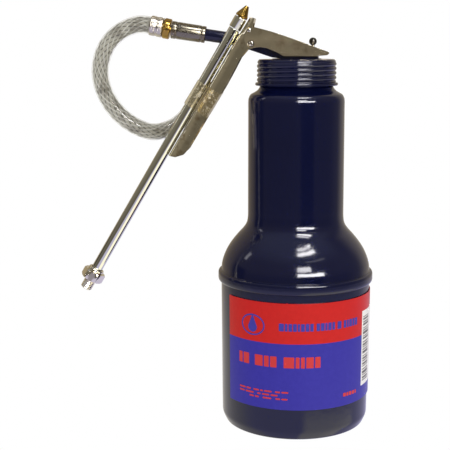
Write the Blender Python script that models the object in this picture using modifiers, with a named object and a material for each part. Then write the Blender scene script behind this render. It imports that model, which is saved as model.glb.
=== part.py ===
"""Hand pump oiler: a two-piece painted steel can, a screw cap that clamps a
lift pump, a bell-crank lever on the pump head, a swivelling flexible spout
and a spare rigid spout strapped along the lever.

Metres, +Z up.  The origin is the centre of the can's foot on the ground.  The
pump head's plane of symmetry is Y = 0, the lever hangs towards -X, and the
near side is -Y.  Lengths below are in millimetres and MM turns them into
metres.
"""
import math

import bmesh
import bpy
from mathutils import Matrix, Vector

MM = 0.001

# --- driving dimensions (mm) ------------------------------------------------
FOOT_R = 33.4            # outer radius of the flat base
BODY_LOW_R = 36.5        # can wall just above the bottom corner
BODY_TOP_R = 36.9        # can wall under the seam bead
WALL = 0.8               # can sheet
SEAM_R = 38.45           # crimped seam bead
NECK_R = 23.5
NECK_TOP_Z = 161.6
MOUTH_R = 17.5           # threaded mouth, root radius
MOUTH_Z = 176.6
CAP_ROOT_R = 18.85       # screw cap skirt between its ribs
CAP_CREST_R = 19.35
CAP_RIM_Z = 168.2
CAP_TOP_Z = 180.8
CAP_BORE_R = 18.4
PITCH = 2.2              # cap ribs, and the threads of cap and mouth
FIT_GAP = 0.3            # radial gap between a pin, rod or tube and its hole
PIVOT_X, PIVOT_Z = PIVOT = (-21.7, 188.4)
PIN_R = 1.2              # lever pivot pins
CROSS_PIN = (-22.6, 194.8)  # pin joining trigger and lift arm, X and Z
CROSS_PIN_R = 0.8
OUTLET_DEG = 8.7         # the outlet rises by this angle towards -X
OUTLET_RISE = 0.8        # height of the outlet axis above the pivot, at the pivot
TUBE_R = 2.95            # outlet tube
ROD_X = 7.76             # pump axis
ROD_R = 0.75
KNOB_R = 1.875
KNOB_Z = 189.32
BARREL_R = 7.0
BARREL_BORE_R = 6.0
PISTON_Z = 138.0         # underside of the piston at rest
LEVER_HALF = 10.7        # half width of the lever channel
EAR_HALF = 12.2          # half width of the lift arm at its ears
LEVER_SHEET = 1.2        # side walls of the trigger and the lift arm
SPOUT_Y = -6.0           # plane of the spare spout
SPOUT_R = 2.7
HOSE_R = 4.0

# Divisions round the turned pieces.
CAN_STEPS = 28
PUMP_STEPS = 20
FINE_STEPS = 16

# --- fresh scene ------------------------------------------------------------
for old in list(bpy.data.objects):
    bpy.data.objects.remove(old, do_unlink=True)
for old in list(bpy.data.collections):
    bpy.data.collections.remove(old)

PARTS = bpy.data.collections.new("hand_pump_oiler")
TOOLS = bpy.data.collections.new("cutters")
bpy.context.scene.collection.children.link(PARTS)
bpy.context.scene.collection.children.link(TOOLS)


# --- materials --------------------------------------------------------------
def finish(name, colour, roughness, metallic=0.0, alpha=1.0):
    material = bpy.data.materials.new(name)
    material.use_nodes = True
    shader = material.node_tree.nodes["Principled BSDF"]
    shader.inputs["Base Color"].default_value = (*colour, 1.0)
    shader.inputs["Roughness"].default_value = roughness
    shader.inputs["Metallic"].default_value = metallic
    shader.inputs["Alpha"].default_value = alpha
    return material


NAVY = finish("navy_paint", colour=(0.012, 0.012, 0.045), roughness=0.22)
NICKEL = finish("nickel_plate", colour=(0.52, 0.48, 0.38), roughness=0.25, metallic=1.0)
STEEL = finish("bright_steel", colour=(0.6, 0.6, 0.6), roughness=0.3, metallic=1.0)
BRASS = finish("brass", colour=(0.72, 0.45, 0.12), roughness=0.25, metallic=1.0)
CLEAR = finish("clear_vinyl", colour=(0.85, 0.85, 0.82), roughness=0.15, alpha=0.4)
BRAID = finish("steel_braid", colour=(0.5, 0.5, 0.47), roughness=0.4, metallic=0.8)
RUBBER = finish("black_rubber", colour=(0.02, 0.02, 0.02), roughness=0.7)
PAPER = finish("printed_label", colour=(0.05, 0.03, 0.3), roughness=0.4)
TAPE = finish("clear_tape", colour=(0.8, 0.75, 0.6), roughness=0.2, alpha=0.4)


# --- modelling helpers ------------------------------------------------------
def add(name, mesh, material=None):
    """New object among the parts, or among the cutters if it has no material."""
    shape = bpy.data.objects.new(name, mesh)
    if material is None:
        TOOLS.objects.link(shape)
        shape.hide_render = True
        shape.display_type = "WIRE"
    else:
        PARTS.objects.link(shape)
        mesh.materials.append(material)
    return shape


def add_built(name, build, material=None):
    """New object whose mesh is made by build(bm)."""
    mesh = bpy.data.meshes.new(name)
    bm = bmesh.new()
    build(bm)
    bm.to_mesh(mesh)
    bm.free()
    return add(name, mesh, material)


def aim(shape, direction):
    """Turn an object's own Z axis to a direction."""
    shape.rotation_mode = "QUATERNION"
    shape.rotation_quaternion = Vector((0, 0, 1)).rotation_difference(direction)


def turned(name, profile, material, steps, closed=True, at=(0, 0, 0), along=(0, 0, 1),
           angle=math.tau):
    """Profile of (radius, height) turned about the axis; closed joins its ends."""
    mesh = bpy.data.meshes.new(name)
    edges = [(i, i + 1) for i in range(len(profile) - 1)]
    if closed:
        edges.append((len(profile) - 1, 0))
    mesh.from_pydata([(radius * MM, 0, z * MM) for radius, z in profile], edges, [])
    shape = add(name, mesh, material)
    shape.location = Vector(at) * MM
    aim(shape, Vector(along))
    turn = shape.modifiers.new("Turn", "SCREW")
    turn.angle = angle
    turn.steps = turn.render_steps = steps
    turn.use_merge_vertices = angle == math.tau
    turn.merge_threshold = 1e-6
    return shape


def bar(name, start, end, radius, material=None, sides=12):
    """Round (or six-sided) bar between two points."""
    start, end = Vector(start) * MM, Vector(end) * MM
    shape = add_built(
        name,
        lambda bm: bmesh.ops.create_cone(
            bm, cap_ends=True, segments=sides, radius1=radius * MM, radius2=radius * MM,
            depth=(end - start).length,
        ),
        material,
    )
    shape.location = (start + end) / 2
    aim(shape, end - start)
    return shape


def cross_bar(name, place, y_start, y_end, radius, material=None, sides=12):
    """Bar along Y through a place given by X and Z."""
    x, z = place
    return bar(name, (x, y_start, z), (x, y_end, z), radius, material, sides)


def block(name, size, centre):
    """Box cutter."""
    def build(bm):
        bmesh.ops.create_cube(bm, size=1.0)
        bmesh.ops.scale(bm, vec=Vector(size) * MM, verts=bm.verts)

    shape = add_built(name, build)
    shape.location = Vector(centre) * MM
    return shape


def ball(name, centre, radius):
    shape = add_built(
        name,
        lambda bm: bmesh.ops.create_uvsphere(
            bm, u_segments=12, v_segments=8, radius=radius * MM
        ),
        STEEL,
    )
    shape.location = Vector(centre) * MM
    return shape


def meshed(source, material):
    """A curve turned into a mesh object of the same name and place."""
    bpy.context.view_layer.update()
    depsgraph = bpy.context.evaluated_depsgraph_get()
    mesh = bpy.data.meshes.new_from_object(source.evaluated_get(depsgraph))
    bm = bmesh.new()
    bm.from_mesh(mesh)
    bmesh.ops.remove_doubles(bm, verts=bm.verts, dist=1e-7)
    bmesh.ops.transform(bm, matrix=source.matrix_world, verts=bm.verts)
    bm.to_mesh(mesh)
    bm.free()
    mesh.materials.clear()
    name = source.name
    bpy.data.objects.remove(source, do_unlink=True)
    return add(name, mesh, material)


def slab(name, outlines, y_low, y_high, material=None):
    """Flat outlines in X and Z, filled and drawn out along Y."""
    curve = bpy.data.curves.new(name, "CURVE")
    curve.dimensions = "2D"
    curve.fill_mode = "BOTH"
    curve.extrude = (y_high - y_low) / 2 * MM
    for outline in outlines:
        spline = curve.splines.new("POLY")
        spline.points.add(len(outline) - 1)
        for point, (x, z) in zip(spline.points, outline):
            point.co = (x * MM, z * MM, 0, 1)
        spline.use_cyclic_u = True
    source = bpy.data.objects.new(name, curve)
    TOOLS.objects.link(source)
    source.rotation_euler = (math.pi / 2, 0, 0)
    source.location = (0, (y_low + y_high) / 2 * MM, 0)
    return meshed(source, material)


def swept(name, points, radius, material=None, resolution=1, wall=None):
    """Round wire along points; with a wall it is a tube open at both ends."""
    curve = bpy.data.curves.new(name, "CURVE")
    curve.dimensions = "3D"
    curve.bevel_depth = radius * MM
    curve.bevel_resolution = resolution
    curve.use_fill_caps = wall is None
    spline = curve.splines.new("POLY")
    spline.points.add(len(points) - 1)
    for point, place in zip(spline.points, points):
        point.co = (*(Vector(place) * MM), 1)
    source = bpy.data.objects.new(name, curve)
    TOOLS.objects.link(source)
    shape = meshed(source, material)
    if wall is not None:
        shell = shape.modifiers.new("Wall", "SOLIDIFY")
        shell.thickness = wall * MM
        shell.offset = -1.0
    return shape


def combine(shape, others, operation):
    for other in others:
        step = shape.modifiers.new(operation.title(), "BOOLEAN")
        step.operation = operation
        step.object = other
    return shape


def cut(shape, *others):
    return combine(shape, others, "DIFFERENCE")


def join(shape, *others):
    return combine(shape, others, "UNION")


def helix(radius, z_low, pitch, turns, per_turn, x=0.0):
    """Points of a right-hand helix about the vertical through x."""
    return [
        (
            x + radius * math.cos(math.tau * i / per_turn),
            radius * math.sin(math.tau * i / per_turn),
            z_low + pitch * i / per_turn,
        )
        for i in range(int(turns * per_turn) + 1)
    ]


def thread(name, radius, z_low, wire_r):
    return swept(name, helix(radius, z_low, PITCH, turns=1.75, per_turn=16), wire_r)


# --- the can ----------------------------------------------------------------
# Drawn cup with a flat base; its top edge sits inside the seam bead.
BODY_PROFILE = [  # radius, height: down the outside, up the inside
    (BODY_TOP_R, 76.2), (BODY_TOP_R, 68.3), (BODY_LOW_R + 0.13, 15.5), (BODY_LOW_R, 4.0),
    (35.6, 1.2), (FOOT_R, 0.0), (0.0, 0.0),
    (0.0, WALL), (33.1, WALL), (34.9, 1.8), (35.7, 4.2),
    (BODY_LOW_R - 0.67, 15.5), (BODY_TOP_R - WALL, 68.3), (BODY_TOP_R - WALL, 76.2),
]
turned("can_body", BODY_PROFILE, NAVY, CAN_STEPS)

# Shoulder: seam bead, dome, neck, and the threaded mouth in one pressing.
DOME = [  # radius, height: up the outside
    (36.9, 77.6), (36.5, 80.9), (35.4, 84.4), (33.8, 87.8), (31.6, 91.2),
    (28.7, 94.8), (25.9, 97.9), (24.2, 100.6), (NECK_R + 0.1, 104.0),
]
MOUTH_BORE_R = 16.7
SHOULDER_OUTSIDE = [  # radius, height: from the mouth down
    (MOUTH_R, MOUTH_Z), (MOUTH_R, 168.6), (18.3, 166.9), (20.4, 164.9), (22.4, 163.9),
    (NECK_R, NECK_TOP_Z),
    *DOME[::-1],
    (37.9, 76.9), (SEAM_R, 75.6), (SEAM_R, 73.2), (37.9, 71.9), (37.25, 71.4),
]
SHOULDER_INSIDE = [  # radius, height: from the seam up
    (37.25, 76.6), (36.1, 77.4),
    *[(radius - WALL - 0.15, z - 0.3) for radius, z in DOME[::2]],
    (NECK_R - WALL, 161.1), (21.8, 163.1), (19.9, 164.1), (17.5, 166.4),
    (MOUTH_BORE_R, 168.6), (MOUTH_BORE_R, MOUTH_Z),
]
join(
    turned("can_shoulder", SHOULDER_OUTSIDE + SHOULDER_INSIDE, NAVY, CAN_STEPS),
    thread("mouth_thread", 17.6, z_low=170.6, wire_r=0.42),
)

# Printed label, a thin sheet wrapped part of the way round the body.
LABEL_START_DEG = -148   # from +X; 58 degrees from the near side towards -X
LABEL_SPAN_DEG = 163
LABEL_SHEET = 0.25
label = turned(
    "front_label", [(BODY_TOP_R + 0.6, 68.0), (BODY_LOW_R + 0.73, 15.7)], PAPER, 14,
    closed=False, angle=math.radians(LABEL_SPAN_DEG),
)
label.rotation_quaternion = Matrix.Rotation(
    math.radians(LABEL_START_DEG), 4, "Z"
).to_quaternion()
sheet = label.modifiers.new("Sheet", "SOLIDIFY")
sheet.thickness = LABEL_SHEET * MM
sheet.offset = -1.0

# --- screw cap and gasket ---------------------------------------------------
TOP_RIB_Z = 178.1
RIB_HALF = 0.75          # half height of a rib
ribs = []
for k in range(5):
    rib_z = TOP_RIB_Z - PITCH * k
    ribs += [(CAP_ROOT_R, rib_z + RIB_HALF), (CAP_CREST_R, rib_z), (CAP_ROOT_R, rib_z - RIB_HALF)]
CAP_PROFILE = [  # radius, height: down the ribbed skirt, up the bore, out over the top
    (18.2, CAP_TOP_Z), (CAP_ROOT_R, CAP_TOP_Z - 0.6), *ribs,
    (20.1, 169.4), (20.1, 168.6), (19.6, CAP_RIM_Z), (18.9, CAP_RIM_Z), (CAP_BORE_R, 169.0),
    (CAP_BORE_R, 180.0), (12.3, 180.0), (12.3, CAP_TOP_Z),
]
join(
    turned("screw_cap", CAP_PROFILE, NAVY, CAN_STEPS),
    thread("cap_thread", 18.3, z_low=169.5, wire_r=0.4),
)

GASKET_PROFILE = [(MOUTH_R, 178.1), (MOUTH_R, 176.9), (14.9, 176.9), (14.9, 178.1)]
turned("cap_gasket", GASKET_PROFILE, RUBBER, CAN_STEPS)

# --- pump head --------------------------------------------------------------
SLOPE = math.radians(OUTLET_DEG)
OUTLET_DIR = Vector((-math.cos(SLOPE), 0.0, math.sin(SLOPE)))   # away from the pump
OUTLET_ACROSS = Vector((math.sin(SLOPE), 0.0, math.cos(SLOPE)))


def on_outlet(distance):
    """Point on the outlet axis, a distance beyond the pivot's X."""
    return (
        PIVOT_X + OUTLET_DIR.x * distance,
        0.0,
        PIVOT_Z + OUTLET_RISE + OUTLET_DIR.z * distance,
    )


def outlet_bar(name, start, end, radius, material=None, sides=12):
    return bar(name, on_outlet(start), on_outlet(end), radius, material, sides)


def pump_bar(name, z_low, z_high, radius, material=None, sides=12, x=ROD_X):
    """Upright bar, on the pump axis unless x says otherwise."""
    return bar(name, (x, 0, z_low), (x, 0, z_high), radius, material, sides)


def pump_turned(name, profile, material, steps=PUMP_STEPS, closed=True):
    return turned(name, profile, material, steps, closed, at=(ROD_X, 0, 0))


# Flange that the cap clamps, with the block, pad, bosses and lugs that stand on it.
FLANGE_PROFILE = [  # radius, height
    (0, 181.2), (11.9, 181.2), (11.9, 179.7), (17.3, 179.7), (17.3, 178.4), (0, 178.4),
]
BLOCK_SIDE = [  # X, Z
    (-23.6, 185.9), (-22.6, 185.4), (-12.0, 181.8), (-6.0, 181.0), (-6.0, 180.4), (4.9, 180.4),
    (4.9, 185.2), (4.3, 185.8), (-14.0, 192.4), (-18.0, 193.2), (-23.6, 193.2),
]
PAD_SIDE = [(-6.2, 180.5), (8.0, 180.5), (8.0, 182.1), (-6.2, 182.1)]
RISER_X = 3.2
PASSAGE_R = 1.1
PASSAGE_START = (3.6, 0, 184.45)
PIN_HOLE_R = PIN_R + FIT_GAP

pump_body = turned("pump_body", FLANGE_PROFILE, NAVY, CAN_STEPS, closed=False)
join(
    pump_body,
    slab("body_block", [BLOCK_SIDE], -5.0, 5.0),
    slab("body_pad", [PAD_SIDE], -6.0, 6.0),
    pump_bar("body_gland_boss", 180.5, 182.25, 2.9, sides=20),
    cross_bar("body_lugs", PIVOT, -9.0, 9.0, 2.5, sides=20),
    pump_bar("body_spigot", 171.6, 179.0, 5.7, sides=20),
)
cut(
    pump_body,
    pump_bar("rod_hole", 170, 186, ROD_R + FIT_GAP),
    pump_bar("packing_bore", 178.2, 184, 2.0, sides=16),
    pump_bar("riser", 170, 184.6, PASSAGE_R, x=RISER_X),
    bar("passage", PASSAGE_START, on_outlet(-10), PASSAGE_R),
    outlet_bar("check_chamber", -14.7, -8, 2.1),
    outlet_bar("tube_socket", -9.2, 8, TUBE_R + FIT_GAP, sides=20),
    cross_bar("near_pin_hole", PIVOT, -10, -4.3, PIN_HOLE_R),
    cross_bar("far_pin_hole", PIVOT, 4.3, 10, PIN_HOLE_R),
)
for side, pin_name in ((-1, "pivot_pin_near"), (1, "pivot_pin_far")):
    cross_bar(pin_name, PIVOT, side * 4.6, side * 11.8, PIN_R, STEEL)

# Rod packing and the hexagonal gland nut over it.
PACKING_PROFILE = [(1.7, 181.1), (1.7, 178.5), (1.05, 178.5), (1.05, 181.1)]
pump_turned("rod_packing", PACKING_PROFILE, RUBBER, FINE_STEPS)

gland = pump_bar("gland_nut", 182.6, 183.9, 2.6, BRASS, sides=6)
join(gland, pump_bar("gland_spigot", 181.4, 183.0, 1.7, sides=16))
cut(gland, pump_bar("gland_bore", 180, 185, ROD_R + FIT_GAP))

# Outlet check valve and the outlet tube.
ball("outlet_ball", on_outlet(-13.4), 1.5)

CHECK_SPRING_R = 1.35
CHECK_SPRING_START = -11.0   # along the outlet axis
CHECK_SPRING_LENGTH = 1.4
CHECK_SPRING_TURNS, CHECK_SPRING_PER_TURN = 3, 8
check_steps = CHECK_SPRING_TURNS * CHECK_SPRING_PER_TURN
check_spring = []
for i in range(check_steps + 1):
    turn_angle = math.tau * i / CHECK_SPRING_PER_TURN
    centre = Vector(on_outlet(CHECK_SPRING_START + CHECK_SPRING_LENGTH * i / check_steps))
    check_spring.append(
        centre
        + OUTLET_ACROSS * CHECK_SPRING_R * math.cos(turn_angle)
        + Vector((0, 1, 0)) * CHECK_SPRING_R * math.sin(turn_angle)
    )
swept("outlet_spring", check_spring, 0.16, STEEL)

cut(
    outlet_bar("outlet_tube", -8.6, 31.2, TUBE_R, NAVY, sides=20),
    outlet_bar("outlet_bore", -12, 35, 1.7),
)

# --- pump barrel, piston and valves -----------------------------------------
BARREL_TOP_Z, BARREL_LOW_Z = 178.1, 124.2
BARREL_PROFILE = [
    (BARREL_R, BARREL_TOP_Z), (BARREL_R, BARREL_LOW_Z),
    (BARREL_BORE_R, BARREL_LOW_Z), (BARREL_BORE_R, BARREL_TOP_Z),
]
pump_turned("pump_barrel", BARREL_PROFILE, STEEL)

# Rod with its ball head, a single turned pin.
KNOB_ARC_DEG = (90, -66.4)   # from the crown to where the ball meets the rod
KNOB_ARC_STEPS = 6
ROD_FOOT_Z = PISTON_Z + 9.0
knob = []
for i in range(1, KNOB_ARC_STEPS + 1):
    knob_angle = math.radians(
        KNOB_ARC_DEG[0] + (KNOB_ARC_DEG[1] - KNOB_ARC_DEG[0]) * i / KNOB_ARC_STEPS
    )
    knob.append((KNOB_R * math.cos(knob_angle), KNOB_Z + KNOB_R * math.sin(knob_angle)))
ROD_PROFILE = [
    (0.0, KNOB_Z + KNOB_R), *knob[:-1], (ROD_R, knob[-1][1]), (ROD_R, ROD_FOOT_Z), (0.0, ROD_FOOT_Z),
]
pump_turned("piston_rod", ROD_PROFILE, STEEL, FINE_STEPS, closed=False)


def on_piston(profile):
    """Profile with heights measured from the piston's underside."""
    return [(radius, PISTON_Z + z) for radius, z in profile]


PISTON_PROFILE = on_piston([
    (1.05, 12.2), (3.6, 12.2), (3.6, 5.8), (5.5, 5.8), (5.5, 4.0), (4.2, 4.0), (4.2, 1.6),
    (5.5, 1.6), (5.5, 0.0), (2.4, 0.0), (2.4, 7.4), (0.0, 7.4), (0.0, 8.5), (1.05, 8.5),
])
cut(
    pump_turned("piston_head", PISTON_PROFILE, BRASS),
    cross_bar("piston_ports", (ROD_X, PISTON_Z + 6.7), -8, 8, 0.6, sides=8),
)

SEAL_PROFILE = on_piston([
    (5.4, 3.7), (5.75, 3.2), (5.75, 2.4), (5.4, 1.9), (4.5, 1.9), (4.5, 3.7),
])
pump_turned("piston_seal", SEAL_PROFILE, RUBBER)

# Bored screw under the piston, with a hexagonal head.
SEAT_BORE_R = 1.0
SEAT_PROFILE = on_piston([(SEAT_BORE_R, 2.2), (2.1, 2.2), (2.1, -0.8), (SEAT_BORE_R, -0.8)])
seat_head = cut(
    pump_bar("seat_head", PISTON_Z - 1.6, PISTON_Z - 0.3, 3.6, sides=6),
    pump_bar("seat_bore", PISTON_Z - 3, PISTON_Z + 1, SEAT_BORE_R, sides=16),
)
join(pump_turned("piston_seat_screw", SEAT_PROFILE, BRASS, FINE_STEPS), seat_head)
ball("piston_ball", (ROD_X, 0, PISTON_Z + 4.0), 1.9)

# Return spring between the piston's shoulder and the pump body's spigot.
SPRING_LOW_Z, SPRING_HIGH_Z = PISTON_Z + 6.6, 170.9
SPRING_COILS = 7
spring_pitch = (SPRING_HIGH_Z - SPRING_LOW_Z) / SPRING_COILS
swept(
    "return_spring",
    helix(4.75, SPRING_LOW_Z, spring_pitch, SPRING_COILS, per_turn=10, x=ROD_X),
    0.42, STEEL,
)

FOOT_VALVE_PROFILE = [  # radius, height
    (1.6, 133.6), (5.0, 133.6), (5.7, 132.9), (5.7, 122.4), (3.3, 122.4), (3.3, 125.9),
    (1.3, 125.9), (1.3, 127.0), (2.4, 128.1), (2.4, 132.9), (1.6, 132.9),
]
pump_turned("foot_valve_body", FOOT_VALVE_PROFILE, BRASS)
ball("foot_valve_ball", (ROD_X, 0, 129.05), 2.0)

SUCTION_PROFILE = [(3.0, 125.5), (3.0, 8.0), (2.0, 8.0), (2.0, 125.5)]
pump_turned("suction_tube", SUCTION_PROFILE, STEEL, FINE_STEPS)

STRAINER_PROFILE = [
    (4.3, 15.0), (4.3, 5.6), (3.6, 4.9), (0, 4.9), (0, 5.9), (3.3, 5.9), (3.3, 15.0),
]
SLOT_Z, SLOT_R, SLOT_REACH = 7.0, 0.7, 6
cut(
    pump_turned("suction_strainer", STRAINER_PROFILE, BRASS, FINE_STEPS),
    bar("strainer_slot_x", (ROD_X - SLOT_REACH, 0, SLOT_Z), (ROD_X + SLOT_REACH, 0, SLOT_Z),
        SLOT_R, sides=8),
    cross_bar("strainer_slot_y", (ROD_X, SLOT_Z), -SLOT_REACH, SLOT_REACH, SLOT_R, sides=8),
)

# --- lever: trigger channel and lift arm ------------------------------------
TRIGGER_SIDE = [  # X, Z
    (-62.2, 134.5), (-30.5, 188.15), (-27.0, 193.4), (-22.2, 200.9), (-20.1, 200.3),
    (-21.0, 196.4), (-19.4, 190.2), (-19.4, 187.2), (-21.2, 186.0), (-23.2, 185.9),
    (-27.0, 181.6), (-29.9, 176.0), (-34.2, 168.2), (-53.3, 136.5), (-54.6, 135.2),
    (-58.6, 134.0),
]
TRIGGER_INSIDE = [  # X, Z
    (-64.4, 128.0), (-61.0, 134.1), (-29.3, 187.75), (-25.9, 192.8), (-22.2, 198.6),
    (-20.5, 198.0), (-16.0, 198.0), (-16.0, 184.0), (-40.0, 128.0),
]
WEB_DIR = Vector((0.518, 0.0, 0.855))   # up the trigger's web
WINDOW_FOOT = Vector((-29.85, 0, 187.98))


def lever_holes(prefix, reach):
    """Pivot and cross pin holes through both cheeks of a lever piece."""
    return (
        cross_bar(f"{prefix}_pivot_hole", PIVOT, -reach, reach, PIN_HOLE_R),
        cross_bar(f"{prefix}_cross_hole", CROSS_PIN, -reach, reach, CROSS_PIN_R + FIT_GAP),
    )


# Trigger, with a window in its web for the outlet tube.
window = block("tube_window", size=(7.2, 7.2, 11.6), centre=WINDOW_FOOT + WEB_DIR * 3.5)
aim(window, WEB_DIR)
trigger_hollow_half = LEVER_HALF - LEVER_SHEET
cut(
    slab("trigger_lever", [TRIGGER_SIDE], -LEVER_HALF, LEVER_HALF, NICKEL),
    slab("trigger_hollow", [TRIGGER_INSIDE], -trigger_hollow_half, trigger_hollow_half),
    window,
    *lever_holes("trigger", 14),
)

ARM_TOP = [  # X, Z
    (-20.3, 196.2), (-13.0, 194.3), (-5.6, 191.9), (1.5, 189.4), (ROD_X, 187.04), (15.3, 184.3),
]
ARM_SIDE = [
    (-22.4, 195.5), *ARM_TOP,
    (15.5, 183.6), (14.6, 182.8), (9.4, 182.4), (-6.2, 182.5), (-9.6, 184.4), (-14.5, 186.4),
    (-17.7, 186.8), (-22.0, 186.2), (-23.7, 186.9), (-24.9, 190.1), (-24.4, 193.2),
]
ARM_TOP_DROP = 1.28      # from the arm's top line to the hollow below it
ARM_INSIDE = [
    (-30.0, 200.0), (-20.6, 200.0), (-20.6, 195.0),
    *[(x, z - ARM_TOP_DROP) for x, z in ARM_TOP[1:-1]],
    (13.6, 183.6), (13.6, 178.0), (-30.0, 178.0),
]
TAPER_START_X, TAPER_END_X = -16.0, 15.5


def tapered(shape, factor):
    """Draw the sides in beyond the taper's start, evenly to a factor at its end."""
    bm = bmesh.new()
    bm.from_mesh(shape.data)
    bmesh.ops.bisect_plane(
        bm, geom=bm.verts[:] + bm.edges[:] + bm.faces[:], dist=1e-7,
        plane_co=(TAPER_START_X * MM, 0, 0), plane_no=(1, 0, 0),
    )
    for vert in bm.verts:
        share = (vert.co.x / MM - TAPER_START_X) / (TAPER_END_X - TAPER_START_X)
        if share > 0:
            vert.co.y *= 1 + (factor - 1) * share
    bmesh.ops.recalc_face_normals(bm, faces=bm.faces)
    bm.to_mesh(shape.data)
    bm.free()
    return shape


# Lift arm, slotted for the piston rod.
slot = block("rod_slot", size=(5.0, 2.2, 8.0), centre=(ROD_X + 0.9, 0, 186.5))
slot.rotation_euler = (0, math.radians(18.1), 0)
arm_hollow_half = EAR_HALF - LEVER_SHEET
cut(
    tapered(slab("lift_arm", [ARM_SIDE], -EAR_HALF, EAR_HALF, NICKEL), 0.5),
    tapered(slab("arm_hollow", [ARM_INSIDE], -arm_hollow_half, arm_hollow_half), 0.42),
    slot,
    *lever_holes("arm", 16),
)
cross_bar("lever_cross_pin", CROSS_PIN, -12.9, 12.9, CROSS_PIN_R, STEEL)

# --- spare rigid spout, strapped along the -X side of the trigger's web -----
SPOUT_LEAN = 0.588       # X run per unit of rise
SPOUT_DIR = Vector((SPOUT_LEAN, 0, 1)).normalized()
SPOUT_FOOT = Vector((-105.2, SPOUT_Y, 67.3))   # threaded end


def on_spout(distance):
    """Point on the spare spout's axis, a distance from its threaded end."""
    return tuple(SPOUT_FOOT + SPOUT_DIR * distance)


def spout_bar(name, start, end, radius, material=None, sides=12):
    return bar(name, on_spout(start), on_spout(end), radius, material, sides)


adapter = spout_bar("spout_adapter", 0, 7.0, 2.85, NICKEL, sides=16)
join(
    adapter,
    spout_bar("adapter_hex", 5.2, 10.2, 6.0, sides=6),
    spout_bar("adapter_collar", 9.5, 12.0, 3.9, sides=16),
)
cut(
    adapter,
    spout_bar("adapter_bore", -1, 7.5, 1.5),
    spout_bar("adapter_socket", 7.2, 13, SPOUT_R + FIT_GAP, sides=16),
)
cut(
    spout_bar("spout_tube", 7.6, 148.5, SPOUT_R, NICKEL, sides=16),
    spout_bar("spout_bore", 5, 151, 1.7),
)
cut(
    spout_bar("spout_ferrule", 148.8, 154.6, 3.05, NICKEL),
    spout_bar("ferrule_bore", 146, 156, 1.9),
)
TIP_PROFILE = [  # radius, distance from the threaded end
    (0.45, 160.9), (0.9, 160.9), (3.0, 155.7), (3.0, 154.9), (1.6, 154.9), (1.6, 152.0),
    (0.7, 152.0), (0.45, 153.0),
]
turned("spout_tip", TIP_PROFILE, BRASS, FINE_STEPS, at=SPOUT_FOOT, along=SPOUT_DIR)

# --- flexible spout ---------------------------------------------------------
COUPLING_PROFILE = [  # radius, distance along the outlet
    (3.3, 39.3), (3.3, 37.4), (4.2, 36.4), (4.0, 22.9), (3.25, 22.9), (3.25, 32.0),
    (2.0, 32.0), (2.0, 39.3),
]
turned("hose_coupling", COUPLING_PROFILE, NICKEL, PUMP_STEPS, at=on_outlet(0), along=OUTLET_DIR)

# Beyond the kink the fittings follow the hose's own, steeper direction.
KINK = Vector(on_outlet(39.6))
HOSE_RISE = math.radians(11.7)
HOSE_DIR = Vector((-math.cos(HOSE_RISE), 0, math.sin(HOSE_RISE)))
INLET_FITTINGS = [  # name, material, steps, profile of radius and distance from the kink
    ("coupling_ring", BRASS, PUMP_STEPS,
     [(4.9, 4.6), (5.2, 4.2), (5.2, 0.6), (4.9, 0.2), (2.0, 0.2), (2.0, 4.6)]),
    ("hose_barb", BRASS, 12,
     [(1.2, 12.4), (1.6, 11.2), (1.6, -5.5), (0.9, -5.5), (0.9, 12.4)]),
    ("hose_inlet_ferrule", STEEL, PUMP_STEPS,
     [(4.45, 11.4), (4.9, 11.0), (4.9, 5.4), (4.5, 4.9), (2.2, 4.9), (2.2, 5.7), (4.3, 5.7),
      (4.3, 11.4)]),
]
for name, material, steps, profile in INLET_FITTINGS:
    turned(name, profile, material, steps, at=KINK, along=HOSE_DIR)


def smooth_path(knots, per_span):
    """Catmull-Rom curve through the knots."""
    points = [Vector(knot) for knot in knots]
    points = [points[0] * 2 - points[1], *points, points[-1] * 2 - points[-2]]
    path = []
    for before, start, end, after in zip(points, points[1:], points[2:], points[3:]):
        for j in range(per_span):
            t = j / per_span
            path.append((
                (start * 2) + (end - before) * t
                + (before * 2 - start * 5 + end * 4 - after) * t * t
                + (start * 3 - before - end * 3 + after) * t * t * t
            ) / 2)
    path.append(points[-2])
    return path


HOSE_KNOTS = [  # X, Y, Z
    KINK + HOSE_DIR * 6.1, KINK + HOSE_DIR * 11.5,
    (-78.6, 0.0, 197.5), (-86.5, 0.1, 194.0), (-92.6, 0.3, 187.9), (-96.0, 0.6, 179.5),
    (-96.3, 1.2, 170.8), (-93.3, 2.2, 161.6), (-87.5, 3.8, 153.5), (-80.3, 6.2, 147.8),
    (-72.1, 10.0, 144.6), (-64.4, 14.6, 145.8), (-58.2, 17.2, 149.6), (-53.6, 18.0, 155.0),
    (-50.0, 18.0, 160.6),
]
hose_path = smooth_path(HOSE_KNOTS, per_span=2)
swept("hose_jacket", hose_path, HOSE_R, CLEAR, resolution=2, wall=0.7)
swept("hose_braid", hose_path, 2.75, BRAID, wall=0.3)
swept("hose_liner", hose_path, 2.2, CLEAR, wall=0.25)

# Fittings on the free end; profiles are radius and distance from the hose's end.
hose_end_dir = (hose_path[-1] - hose_path[-2]).normalized()
OUTLET_FERRULE_PROFILE = [
    (2.2, 2.0), (4.5, 2.0), (4.9, 1.5), (4.9, -4.6), (4.5, -5.0), (4.32, -5.0), (4.32, 0.4),
    (2.2, 0.4),
]
NOZZLE_PROFILE = [
    (0.6, 11.0), (1.2, 11.0), (3.2, 5.0), (3.2, 2.3), (1.6, 2.3), (1.6, -4.0), (0.6, -4.0),
]
turned("hose_outlet_ferrule", OUTLET_FERRULE_PROFILE, STEEL, PUMP_STEPS,
       at=HOSE_KNOTS[-1], along=hose_end_dir)
turned("hose_nozzle", NOZZLE_PROFILE, BRASS, FINE_STEPS, at=HOSE_KNOTS[-1], along=hose_end_dir)


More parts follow.
